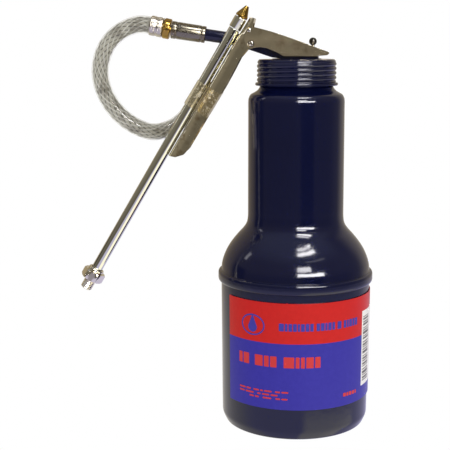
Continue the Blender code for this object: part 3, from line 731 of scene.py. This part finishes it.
# Printed lines: start, end, z low, z high, words, gap, space
BLUE_LINE = (-7.5, 34.8, 54.6, 58.3,
             [(2.6, 1.4, 1.9, 1.9, 1.2, 1.9, 1.9, 1.7), (1.8, 2.0, 1.2, 1.9, 1.5), (2.4,),
              (1.7, 1.2, 2.1, 1.6, 1.9)], 0.45, 1.6)
RED_LINES = [
    (-29.6, 12.6, 36.6, 41.976,
     [(2.2, 3.4), (4.2, 2.4, 3.2), (5.0, 1.8, 1.8, 3.6, 2.6)], 0.7, 3.4),
    (-29.3, -2.8, 24.0, 24.8, [(3.0, 2.0), (2.4, 1.2, 3.0), (2.0, 2.6)], 0.5, 1.3),
    (-29.3, -8.0, 22.3, 23.1, [(2.0, 3.1), (1.2, 2.4, 2.2)], 0.5, 1.3),
    (-23.0, -3.2, 20.6, 21.4, [(2.0, 1.6), (3.4,), (1.8, 2.2)], 0.5, 1.6),
    (25.6, 35.0, 20.2, 22.0, [(1.6, 1.2, 1.6, 1.6, 1.0)], 0.4, 1.0),
]
BADGE = -21.2                # the oval and its drop, along the label
blue_ink = [ring_patch(BADGE, 56.4, half_width=6.6, half_height=5.2, line=0.7),
            drop_patch(BADGE, 55.3, radius=2.5), *blocks(*BLUE_LINE)]
piece("label_ink_blue", blue_ink, INK_BLUE, "can", "printed_film", smooth=30)
red_ink = [patch for line in RED_LINES for patch in blocks(*line)]
piece("label_ink_red", red_ink, INK_RED, "can", "printed_film", smooth=30)

panel = [(along, 22.4, 60.1) for along in np.linspace(39.7, 62.0, 20)]
piece("label_stripe_panel", [sheet(panel, PANEL_LIFT)], INK_WHITE, "can", "printed_film",
      smooth=30)

STRIPE_HEIGHTS = (0.55, 0.9, 0.4, 1.3, 0.55, 0.4, 0.95)
STRIPE_GAPS = (0.5, 0.75, 0.5, 0.6, 1.1)
STRIPES_LOW, STRIPES_HIGH = 24.6, 57.5
stripes, stripe_z = [], STRIPES_LOW
while stripe_z < STRIPES_HIGH:
    k = len(stripes)
    height = STRIPE_HEIGHTS[k % len(STRIPE_HEIGHTS)]
    stripe = [(along, stripe_z, stripe_z + height) for along in np.linspace(41.0, 48.6, 8)]
    stripes.append(sheet(stripe, STRIPE_LIFT))
    stripe_z += height + STRIPE_GAPS[k % len(STRIPE_GAPS)]
piece("label_stripes", stripes, INK_BLACK, "can", "printed_film", smooth=30)

# --- screw cap ----------------------------------------------------------------
# (radius, height): top, threaded side, then flange and inside
CAP_SIDE_Z = 179.6
cap_top = rounded([(12.3, 180.8), (18.2, 180.8), (18.9, 180.0), (18.95, CAP_SIDE_Z)],
                  {1: 0.5, 2: 0.3}, segments=4, closed=False)
cap_side = [(19.08, CAP_SIDE_Z - 0.11 * k) for k in range(1, 89)]
cap_lower = rounded(
    [(18.95, 169.75), (19.9, 169.55), (20.1, 169.2), (20.1, 168.7), (19.75, 168.25),
     (18.9, 168.2), (18.4, 169.0), (18.4, 180.0), (12.3, 180.0)],
    0.18, segments=3, closed=False)


def cap_thread(i, radius, height, angle):
    if not len(cap_top) <= i < len(cap_top) + len(cap_side):
        return radius
    fade = min(1.0, max(0.0, (179.7 - height) / 0.9), max(0.0, (height - 169.7) / 0.8))
    turn = math.tau * (height - 178.1) / PITCH - angle - math.pi / 2
    wave = 2 * abs(math.cos(turn / 2)) - 1
    return radius - 0.1 + 0.33 * fade * wave


piece("oiler_screw_cap", [lathe(cap_top + cap_side + cap_lower, 128, bend=cap_thread)], NAVY,
      "cap", "navy_paint", "screw_cap", smooth=60)

# --- pump rod, outlet and fittings --------------------------------------------
KNOB_Z, KNOB_R, ROD_R = 189.32, 1.875, 0.75
knob_angles = [math.radians(degrees) for degrees in range(10, 156, 8)]
rod_outline = [(0.0, KNOB_Z + KNOB_R),
               *[(KNOB_R * math.sin(a), KNOB_Z + KNOB_R * math.cos(a)) for a in knob_angles],
               (ROD_R, KNOB_Z - 1.9), (ROD_R, PISTON_Z + 9.0), (0.0, PISTON_Z + 9.0)]
piece("pump_rod_and_knob", [lathe(rod_outline, 40, at=(ROD_X, 0, 0), closed=False)],
      DARK_STEEL, "piston", "bright_steel", "piston_rod", smooth=40)

# (radius, distance along the axis) outlines from here to the inlet ferrule
pipe = rounded([(1.7, -8.6), (2.95, -8.6), (2.95, 31.2), (1.7, 31.2)], 0.25, segments=3)
piece("outlet_pipe", [lathe(pipe, 48, at=OUTLET, axis=OUTLET_DIR)], NAVY, "pump_head",
      "navy_paint", "outlet_tube")

coupling = rounded(
    [(2.0, 39.5), (4.2, 39.5), (4.2, 37.3), (4.0, 37.1), (4.0, 36.7), (4.15, 36.5),
     (4.05, 25.2), (3.85, 25.0), (3.85, 24.6), (4.05, 24.4), (4.0, 22.9), (3.25, 22.9),
     (3.25, 32.0), (2.0, 32.0)], 0.22, segments=3)
piece("swivel_coupling", [lathe(coupling, 56, at=OUTLET, axis=OUTLET_DIR)], NICKEL_CAST,
      "flex_spout", "nickel_plate", "hose_coupling")

coupling_ring = rounded([(2.0, 3.9), (4.6, 3.9), (4.95, 3.5), (4.95, 0.9), (4.6, 0.5),
                         (2.0, 0.5)], 0.3, segments=3)
piece("brass_coupling_ring", [lathe(coupling_ring, 96, at=KINK, axis=HOSE_DIR)], BRASS,
      "flex_spout", "brass", "coupling_ring", smooth=50)

inlet = rounded(
    [(2.2, 4.1), (4.4, 4.1), (4.8, 4.6), (4.8, 6.6), (4.62, 6.9), (4.62, 7.9), (4.8, 8.2),
     (4.8, 10.2), (4.5, 10.6), (4.22, 10.6), (4.22, 5.0), (2.2, 5.0)], 0.25, segments=3)
piece("hose_ferrule_inlet", [lathe(inlet, 56, at=KINK, axis=HOSE_DIR)], FERRULE,
      "flex_spout", "bright_steel", "hose_inlet_ferrule")

# --- flexible hose ------------------------------------------------------------
# (x, y, z) along the centre line
HOSE_KNOTS = [
    tuple(KINK + HOSE_DIR * 6.1), tuple(KINK + HOSE_DIR * 11.5), (-78.6, 0.0, 197.5),
    (-86.5, 0.1, 194.0), (-92.6, 0.3, 187.9), (-96.0, 0.6, 179.5), (-96.3, 1.2, 170.8),
    (-93.3, 2.2, 161.6), (-87.5, 3.8, 153.5), (-80.3, 6.2, 147.8), (-72.1, 10.0, 144.6),
    (-64.4, 14.6, 145.8), (-58.2, 17.2, 149.6), (-53.6, 18.0, 155.0), (-50.0, 18.0, 160.6)]
curve = catmull(HOSE_KNOTS, 12)
lengths = np.concatenate([[0], np.cumsum(np.linalg.norm(np.diff(curve, axis=0), axis=1))])
stations = np.linspace(0, lengths[-1], 230)
hose = np.stack([np.interp(stations, lengths, curve[:, k]) for k in range(3)], axis=1)
hose_normal, hose_binormal = transport(hose)
piece("hose_clear_jacket", [tube(hose, 4.2, 40)], VINYL, "flex_spout", "clear_vinyl",
      "hose_jacket", smooth=60)
# The core is painted near black as shade, so the gaps in the braid read dark
piece("hose_core", [tube(hose, 2.35, 24)], LINER_PAINTED_SHADE, "flex_spout", "clear_vinyl", "hose_liner",
      smooth=60)

YARNS = 9                    # each way round
YARN_TURN = math.tau / 46.0  # radians per mm of hose


def yarn(phase, turn, radius, half_width, half_depth, weave, weave_phase):
    """Flat yarn wound along the hose, weaving in and out."""
    angle = phase + turn * stations
    lift = radius + weave * np.sin(weave_phase + stations * abs(turn) * YARNS)
    radial = hose_normal * np.cos(angle)[:, None] + hose_binormal * np.sin(angle)[:, None]
    centre = hose + radial * lift[:, None]
    side = np.cross(tangents(centre), radial)
    side /= np.linalg.norm(side, axis=1)[:, None]
    around = np.arange(6) * math.tau / 6
    return skin(centre[:, None]
                + side[:, None] * (half_width * np.cos(around))[None, :, None]
                + radial[:, None] * (half_depth * np.sin(around))[None, :, None])


wide = [yarn(math.tau * k / YARNS, YARN_TURN, radius=2.5, half_width=0.71, half_depth=0.14,
             weave=0.06, weave_phase=k) for k in range(YARNS)]
cross = [yarn(math.tau * (k + 0.5) / YARNS, -YARN_TURN, radius=2.62, half_width=0.26,
              half_depth=0.12, weave=0.08, weave_phase=k + 1.5) for k in range(YARNS)]
piece("hose_braid_wide", wide, BRAID, "flex_spout", "wire_braid", "hose_braid", smooth=80)
piece("hose_braid_cross", cross, BRAID_CROSS, "flex_spout", "wire_braid", smooth=80)

# (radius, distance beyond the hose's end)
HOSE_END_DIR = unit(hose[-1] - hose[-3])
outlet_ferrule = rounded([(2.2, 2.0), (4.5, 2.0), (4.9, 1.5), (4.9, -4.6), (4.5, -5.0),
                          (4.1, -5.0), (4.1, 0.4), (2.2, 0.4)], 0.25, segments=3)
piece("hose_ferrule_outlet", [lathe(outlet_ferrule, 56, at=hose[-1], axis=HOSE_END_DIR)],
      FERRULE, "flex_spout", "bright_steel", "hose_outlet_ferrule")
nozzle = rounded([(0.6, 11.0), (1.2, 11.0), (3.2, 5.0), (3.2, 2.3), (1.6, 2.3), (1.6, -4.0),
                  (0.6, -4.0)], 0.2, segments=3)
piece("hose_brass_nozzle", [lathe(nozzle, 48, at=hose[-1], axis=HOSE_END_DIR)], BRASS,
      "flex_spout", "brass", "hose_nozzle")

# --- trigger: a folded channel ------------------------------------------------
# (x, z): up the web, then down the open side of the flanks
TRIGGER = [
    (-62.2, 134.5), (-30.5, 188.15), (-27.0, 193.4), (-22.2, 200.9), (-20.1, 200.3),
    (-21.0, 196.4), (-19.4, 190.2), (-19.4, 187.2), (-21.2, 186.0), (-23.2, 185.9),
    (-27.0, 181.6), (-29.9, 176.0), (-34.2, 168.2), (-53.3, 136.5), (-54.6, 135.2),
    (-58.6, 134.0)]
TRIGGER_HOLLOW = [
    (-64.4, 128.0), (-61.0, 134.1), (-29.3, 187.75), (-25.9, 192.8), (-22.2, 198.6),
    (-20.5, 198.0), (-16.0, 198.0), (-16.0, 184.0), (-40.0, 128.0)]
WEB_LINE = [(-70.47, 120.5), *TRIGGER[:3], (-26.74, 193.8), TRIGGER[3], (-17.7, 207.9)]
# Corners between web and flanks at each point of WEB_LINE: (depth, width, straight)
OUTER_ROLLS = ([(4.6, 4.0, False)] * 2 + [(3.6, 3.4, False), (2.6, 2.8, False)]
               + [(1.75, 1.9, True)] * 3)
INNER_ROLLS = ([(3.4, 2.9, False)] * 2 + [(2.4, 2.3, False), (1.5, 1.7, False)]
               + [(0.8, 0.9, True)] * 3)
HOLLOW_INSET = 1.19          # of the rolled hollow, from web and flanks
PIVOT_HOLE_R, RIVET_HOLE_R = 1.5, 1.1


def lever_holes(half):
    return [cross_hole(PIVOT[0], PIVOT[2], PIVOT_HOLE_R, half),
            cross_hole(RIVET_X, RIVET_Z, RIVET_HOLE_R, half)]


trigger = meet(
    slab("lever_trigger", TRIGGER, -LEVER_HALF, LEVER_HALF),
    channel("web_outside", WEB_LINE, 0.0, 16.0, LEVER_HALF, OUTER_ROLLS))
hollow = meet(
    slab("trigger_hollow", TRIGGER_HOLLOW, -LEVER_HALF + LEVER_SHEET,
         LEVER_HALF - LEVER_SHEET),
    channel("web_inside", WEB_LINE, HOLLOW_INSET, 18.0, LEVER_HALF - HOLLOW_INSET,
            INNER_ROLLS, segments=6))
window = cut_block("trigger_window", 3.6, 5.8, 3.6,
                   centre=(np.array((-29.85, 0, 187.98)) + WEB * 3.5) * MM,
                   tilt=math.atan2(WEB[0], WEB[2]))
trigger = carve(trigger, [hollow, window, *lever_holes(14)], edge=0.22)
flat_faces(settle(trigger, NICKEL, "lever", "nickel_plate", "trigger_lever", smooth=35))

# --- lift arm: a channel open below, narrowing towards the rod ----------------
# (x, z)
ARM_TOP = [(-20.3, 196.2), (-13.0, 194.3), (-5.6, 191.9), (1.5, 189.4), (ROD_X, 187.04),
           (15.3, 184.3)]
ARM = [(-22.4, 195.5), *ARM_TOP, (15.5, 183.6), (14.6, 182.8), (9.4, 182.4), (-6.2, 182.5),
       (-9.6, 184.4), (-14.5, 186.4), (-17.7, 186.8), (-22.0, 186.2), (-23.7, 186.9),
       (-24.9, 190.1), (-24.4, 193.2)]
ARM_HOLLOW = [(-30.0, 200.0), (-20.6, 200.0), (-20.6, 195.0),
              *[(x, z - 1.28) for x, z in ARM_TOP[1:-1]],
              (13.6, 183.6), (13.6, 178.0), (-30.0, 178.0)]
TAPER_START, TAPER_END = -16.0, 15.5


def taper(ob, factor):
    """Scale the width evenly down to a factor between the taper's two ends in X."""
    bm = bmesh.new()
    bm.from_mesh(ob.data)
    bmesh.ops.bisect_plane(bm, geom=bm.verts[:] + bm.edges[:] + bm.faces[:], dist=1e-7,
                           plane_co=(TAPER_START * MM, 0, 0), plane_no=(1, 0, 0))
    for vert in bm.verts:
        t = (vert.co.x / MM - TAPER_START) / (TAPER_END - TAPER_START)
        if t > 0:
            vert.co.y *= 1 + (factor - 1) * t
    bm.to_mesh(ob.data)
    bm.free()
    return ob


arm = taper(slab("lever_lift_arm", ARM, -EAR_HALF, EAR_HALF), 0.5)
arm_hollow = taper(
    slab("arm_hollow", ARM_HOLLOW, -EAR_HALF + LEVER_SHEET, EAR_HALF - LEVER_SHEET,
         round_runs=(2, 3, 4, 5, 6), radius=0.3, segments=2), 0.42)
rod_slot = cut_block("arm_slot", 2.5, 4.0, 1.1,
                     centre=Vector((ROD_X + 0.9, 0, 186.5)) * MM, tilt=math.radians(18.1))
arm = carve(arm, [arm_hollow, rod_slot, *lever_holes(16)], edge=0.13)
flat_faces(settle(arm, NICKEL_ARM, "lever", "nickel_plate", "lift_arm", smooth=35))


# --- pins along Y -------------------------------------------------------------
def pin(name, y_start, y_end, x, z, radius, body, node):
    length = abs(y_end - y_start)
    outline = rounded([(0.0, 0.0), (radius, 0.0), (radius, length), (0.0, length)],
                      0.25, segments=3, closed=False)
    axis = (0, 1 if y_end > y_start else -1, 0)
    piece(name, [lathe(outline, 32, at=(x, y_start, z), axis=axis, closed=False)], STEEL,
          body, "bright_steel", node)


PIN_INNER_Y, PIN_OUTER_Y, PIN_R = 4.6, 11.8, 1.2
RIVET_HALF, RIVET_R = 12.9, 0.8
pin("pivot_pin_near_side", -PIN_INNER_Y, -PIN_OUTER_Y, PIVOT[0], PIVOT[2], PIN_R,
    "pump_head", "pivot_pin_near")
pin("pivot_pin_far_side", PIN_INNER_Y, PIN_OUTER_Y, PIVOT[0], PIVOT[2], PIN_R,
    "pump_head", "pivot_pin_far")
pin("lever_rivet", -RIVET_HALF, RIVET_HALF, RIVET_X, RIVET_Z, RIVET_R, "lever",
    "lever_cross_pin")


# --- spare rigid spout --------------------------------------------------------
# (radius, distance from the spout's foot) outlines
def on_spout(outline, steps, bend=None):
    return lathe(outline, steps, at=SPOUT_FOOT, axis=SPOUT_DIR, bend=bend)


def prism_radius(half_flats, sides, angle):
    """Radius of a prism with flat sides, at an angle."""
    return half_flats / math.cos(angle % (math.tau / sides) - math.pi / sides)


STUB_THREAD_ROWS = 44
stub = [(1.5, 0.2), (2.5, 0.2), *[(2.78, 0.6 + 0.1 * k) for k in range(STUB_THREAD_ROWS)],
        (2.6, 5.2), (2.6, 5.9), (1.5, 5.9)]


def stub_thread(i, radius, height, angle):
    if 2 <= i < 2 + STUB_THREAD_ROWS:
        return radius + 0.12 * math.cos(math.tau * height / 0.9 - angle)
    return radius


def hexagon():
    """Adapter's hexagon with its corners turned off, more so at both ends."""
    x, y, z = basis(SPOUT_DIR)
    rings = []
    for height, corner_r in ((5.7, 5.15), (6.25, 5.7), (9.75, 5.7), (10.3, 5.15)):
        ring = []
        for j in range(72):
            angle = math.tau * j / 72
            radius = min(prism_radius(5.0, 6, angle), corner_r)
            ring.append(SPOUT_FOOT + z * height
                        + (x * math.cos(angle) + y * math.sin(angle)) * radius)
        rings.append(ring)
    return skin(np.array(rings))


collar = rounded([(2.9, 9.9), (3.9, 9.9), (3.9, 11.6), (3.5, 12.0), (2.9, 12.0)], 0.2,
                 segments=3)
piece("spare_spout_adapter", [on_spout(stub, 48, stub_thread), hexagon(), on_spout(collar, 48)],
      NICKEL_HEX, "lever", "nickel_plate", "spout_adapter", smooth=30)

spout_tube = rounded([(1.7, 7.6), (2.7, 7.6), (2.7, 148.5), (1.7, 148.5)], 0.2, segments=3)
piece("spare_spout_tube", [on_spout(spout_tube, 64)], NICKEL_ROUND, "lever", "nickel_plate",
      "spout_tube")


def facets(i, radius, height, angle):
    """Eight flats on the widest part."""
    return min(radius, prism_radius(2.86, 8, angle)) if radius > 2.9 else radius


spout_ferrule = rounded([(1.9, 148.8), (2.85, 148.8), (3.05, 149.1), (3.05, 154.2),
                         (2.85, 154.6), (1.9, 154.6)], 0.12, segments=2)
piece("spare_spout_ferrule", [on_spout(spout_ferrule, 64, facets)], NICKEL_ROUND, "lever",
      "nickel_plate", "spout_ferrule", smooth=20)
spout_tip = rounded([(0.45, 160.9), (0.85, 160.9), (3.0, 155.9), (3.0, 154.9), (1.6, 154.9),
                     (1.6, 152.0), (0.7, 152.0), (0.45, 153.0)], 0.15, segments=3)
piece("spare_spout_brass_tip", [on_spout(spout_tip, 48)], BRASS, "lever", "brass",
      "spout_tip")

# --- clear tape round the trigger and the spare spout -------------------------
STRAP_MID = np.array((-45.7, 0.0, 162.4))
STRAP_HALF_WIDTH = 6.5
STRAP_GAP = 0.34             # off what it wraps
STRAP_STEPS = 150
TAPE_HALF_THICKNESS = 0.07
RIPPLE = 0.024
RIPPLE_RATES = (0.9, 1.7, 2.6, 3.8, 5.1)   # radians per mm across the tape


def hull(points):
    """Convex outline round flat points."""
    points = sorted(set(points))

    def half(ordered):
        chain = []
        for y, v in ordered:
            while len(chain) > 1 and (
                    (chain[-1][0] - chain[-2][0]) * (v - chain[-2][1])
                    - (chain[-1][1] - chain[-2][1]) * (y - chain[-2][0])) <= 0:
                chain.pop()
            chain.append((y, v))
        return chain[:-1]

    return half(points) + half(points[::-1])


def strap_loop():
    """Even points of (y, inward) round the trigger's flanks and the spout."""
    reach = (STRAP_MID[2] - SPOUT_FOOT[2]) / SPOUT_DIR[2]
    spout_inward = float((SPOUT_FOOT + SPOUT_DIR * reach - STRAP_MID) @ WEB_INWARD)
    points = []
    # What is wrapped: (y, inward, radius)
    for y, inward, radius in ((-LEVER_HALF, 0, 0), (LEVER_HALF, 0, 0), (-LEVER_HALF, 6.6, 0),
                              (LEVER_HALF, 6.6, 0), (SPOUT_FOOT[1], spout_inward, 2.85)):
        for k in range(12):
            angle = math.tau * (k + 0.5) / 12
            points.append((round(y + (radius + STRAP_GAP) * math.cos(angle), 6),
                           round(inward + (radius + STRAP_GAP) * math.sin(angle), 6)))
    loop = np.array(hull(points))
    loop = np.vstack([loop, loop[:1]])
    run = np.concatenate([[0], np.cumsum(np.linalg.norm(np.diff(loop, axis=0), axis=1))])
    even = np.linspace(0, run[-1], STRAP_STEPS, endpoint=False)
    return np.stack([np.interp(even, run, loop[:, k]) for k in range(2)], axis=1)


def tape_rings():
    """Sections across the rippled tape, one at each point of the loop."""
    loop = strap_loop()
    middle = loop.mean(axis=0)
    across = np.linspace(-STRAP_HALF_WIDTH, STRAP_HALF_WIDTH, 40)
    wobble = np.random.default_rng(7).normal(0, 1, (5, 3))
    rings = []
    for k, (y, inward) in enumerate(loop):
        away = unit(loop[k] - middle)
        ring = []
        for side in (1, -1):
            for along in across[::side]:
                ripple = sum(
                    math.sin(rate * along + 2.2 * shift
                             + (4 + rate * 3) * math.tau * k / STRAP_STEPS + phase)
                    for (_, shift, phase), rate in zip(wobble, RIPPLE_RATES))
                lift = RIPPLE * ripple + side * TAPE_HALF_THICKNESS
                ring.append(STRAP_MID + WEB_UP * along
                            + np.array((0, 1.0, 0)) * (y + away[0] * lift)
                            + WEB_INWARD * (inward + away[1] * lift))
        rings.append(ring)
    return np.array(rings)


piece("clear_tape_band", [skin(tape_rings(), looped=True)], TAPE, "lever", "clear_tape",
      "spout_strap", smooth=80)

# --- return spring round the pump rod -----------------------------------------
COILS, COIL_R, WIRE_R = 7, 4.75, 0.42
SPRING_LOW, SPRING_HIGH = PISTON_Z + 6.6, 170.9
turns = np.linspace(0, COILS, 24 * COILS + 1)
coil = np.stack([ROD_X + COIL_R * np.cos(math.tau * turns), COIL_R * np.sin(math.tau * turns),
                 SPRING_LOW + (SPRING_HIGH - SPRING_LOW) * turns / COILS], axis=1)
spring = piece("pump_return_spring", [tube(coil, WIRE_R, 12)], STEEL, "pump_head",
               "bright_steel", "return_spring", smooth=60)
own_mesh(spring)

# --- frame pieces that stay ---------------------------------------------------
# Material, slot and bevel width
FINISH = {
    "pump_body": (NAVY, "navy_paint", 0.25),
    "cap_gasket": (RUBBER, "black_rubber", 0.15),
    "rod_packing": (RUBBER, "black_rubber", 0.1),
    "gland_nut": (BRASS, "brass", 0.12),
    "outlet_ball": (STEEL, "bright_steel", 0.0),
    "outlet_spring": (STEEL, "bright_steel", 0.0),
    "pump_barrel": (STEEL, "bright_steel", 0.1),
    "piston_head": (BRASS, "brass", 0.1),
    "piston_seal": (RUBBER, "black_rubber", 0.1),
    "piston_seat_screw": (BRASS, "brass", 0.1),
    "piston_ball": (STEEL, "bright_steel", 0.0),
    "foot_valve_body": (BRASS, "brass", 0.1),
    "foot_valve_ball": (STEEL, "bright_steel", 0.0),
    "suction_tube": (STEEL, "bright_steel", 0.1),
    "suction_strainer": (BRASS, "brass", 0.1),
    "hose_barb": (BRASS, "brass", 0.08),
}
for name, (mat, slot, edge) in FINISH.items():
    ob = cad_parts[name]
    dress(ob, mat, smooth=35)
    if edge:
        soften(ob, edge, 40)
        flat_faces(ob)

# --- camera: in metres and degrees --------------------------------------------
CAMERA_AT = (0.0, -0.53393, 0.1915)
LOOK_DOWN, LOOK_ROUND, ROLL = 9.816, 3.767, -0.211
camera_data = bpy.data.cameras.new("camera")
camera_data.lens = 86.87
camera_data.sensor_width = 36.0
camera_data.clip_start = 0.01
camera = bpy.data.objects.new("camera", camera_data)
scene.collection.objects.link(camera)
camera.location = CAMERA_AT
camera.rotation_euler = (math.radians(90 - LOOK_DOWN), 0.0, math.radians(LOOK_ROUND))
aim = camera.rotation_euler.to_matrix()
camera.rotation_euler = (aim @ Matrix.Rotation(math.radians(ROLL), 3, "Z")).to_euler()
scene.camera = camera

# --- world: white to the eye, a studio to reflections -------------------------
# Azimuth is 0 towards -Y and grows towards +X; azimuth and elevation are in degrees
DEGREES = 57.29578           # per radian
WALL, CEILING = (1.0, 0.9, 0.74), (1.05, 1.08, 1.3)
LAMP = (1.0, 0.98, 1.0)
# Azimuth low and high, elevation low and high, softness of each, colour
DARK_PATCHES = [
    (12, 43, -12, 9, 4, 3, (0.03, 0.026, 0.022)),
    (-112, -84, -12, 12, 4, 3, (0.06, 0.055, 0.05)),
]
LAMPS = [
    (4, 46, 9.5, 19.5, 0.8, 0.6, scaled(LAMP, 26)),
    (4, 26, 24, 33, 0.8, 0.6, scaled(LAMP, 18)),
    (5, 52, 55.5, 61, 0.8, 0.6, scaled(LAMP, 26)),
    (6, 50, 64, 66.5, 0.8, 0.6, scaled(LAMP, 26)),
    (20, 60, 42.5, 44, 0.8, 0.6, scaled(LAMP, 3)),
    (-98.5, -92.5, 25, 36, 0.6, 1.0, scaled((0.97, 0.96, 1.0), 3.0)),
]


def reflected_studio(graph, azimuth, elevation):
    """Colour seen by glossy rays."""
    def patched(base, patches):
        for az_low, az_high, el_low, el_high, az_soft, el_soft, colour in patches:
            patch = graph.math("MULTIPLY", graph.window(azimuth, az_low, az_high, az_soft),
                               graph.window(elevation, el_low, el_high, el_soft))
            base = graph.mix(base, colour, patch)
        return base

    # Walls, brighter upwards, and the ceiling
    room = graph.mix(scaled(WALL, 0.14), scaled(WALL, 0.23),
                     graph.step(elevation, low=-8, high=24))
    room = graph.mix(room, scaled(CEILING, 0.37), graph.step(elevation, low=28, high=62))
    # The far wall from the -X side, then from the +X side in two steps
    room = graph.mix(room, (0.42, 0.345, 0.24), graph.step(azimuth, low=-106, high=-126))
    room = graph.mix(room, (0.20, 0.18, 0.16), graph.step(azimuth, low=84, high=112))
    room = graph.mix(room, (0.52, 0.46, 0.38), graph.step(azimuth, low=112, high=138))
    room = patched(room, DARK_PATCHES)
    # Floor, brightest on the near +X side
    floor = graph.step(elevation, low=-9, high=-18)
    bright = graph.math("MULTIPLY", graph.window(azimuth, low=16, high=104, soft=6),
                        graph.step(elevation, low=-19.5, high=-22.5))
    floor_colour = graph.mix((0.66, 0.63, 0.92), (1.45, 1.38, 1.2), bright)
    floor_colour = graph.mix(floor_colour, (0.8, 0.76, 0.7),
                             graph.step(azimuth, low=-60, high=-100))
    room = graph.mix(room, floor_colour, floor)
    return patched(room, LAMPS)


def build_world():
    world = bpy.data.worlds.new("studio")
    scene.world = world
    world.use_nodes = True
    world.cycles.sampling_method = "NONE"
    graph = Graph(world.node_tree)
    direction = graph.add("ShaderNodeTexCoord").outputs["Generated"]
    axes = graph.add("ShaderNodeSeparateXYZ", {0: direction}).outputs
    towards = graph.math("MULTIPLY", axes["Y"], -1.0)
    azimuth = graph.math("MULTIPLY", graph.math("ARCTAN2", axes["X"], towards), DEGREES)
    elevation = graph.math("MULTIPLY", graph.math("ARCSINE", axes["Z"]), DEGREES)
    glossy = reflected_studio(graph, azimuth, elevation)

    # Soft light from the near, upper +X side
    sun_dir = unit((0.45, -0.75, 0.5)).tolist()
    sun = graph.add("ShaderNodeVectorMath", {0: direction, 1: sun_dir},
                    operation="DOT_PRODUCT").outputs["Value"]
    diffuse = graph.mix((0.62, 0.62, 0.64), (1.35, 1.33, 1.3),
                        graph.step(sun, low=-0.2, high=1.0))

    rays = graph.add("ShaderNodeLightPath").outputs
    light = graph.mix(diffuse, glossy, rays["Is Glossy Ray"])
    for ray in ("Is Transmission Ray", "Is Camera Ray"):
        light = graph.mix(light, (1.0, 1.0, 1.0), rays[ray])
    background = graph.add("ShaderNodeBackground", {"Color": light})
    graph.add("ShaderNodeOutputWorld", {"Surface": background.outputs[0]})


build_world()
scene.view_settings.view_transform = "Standard"
scene.view_settings.look = "None"
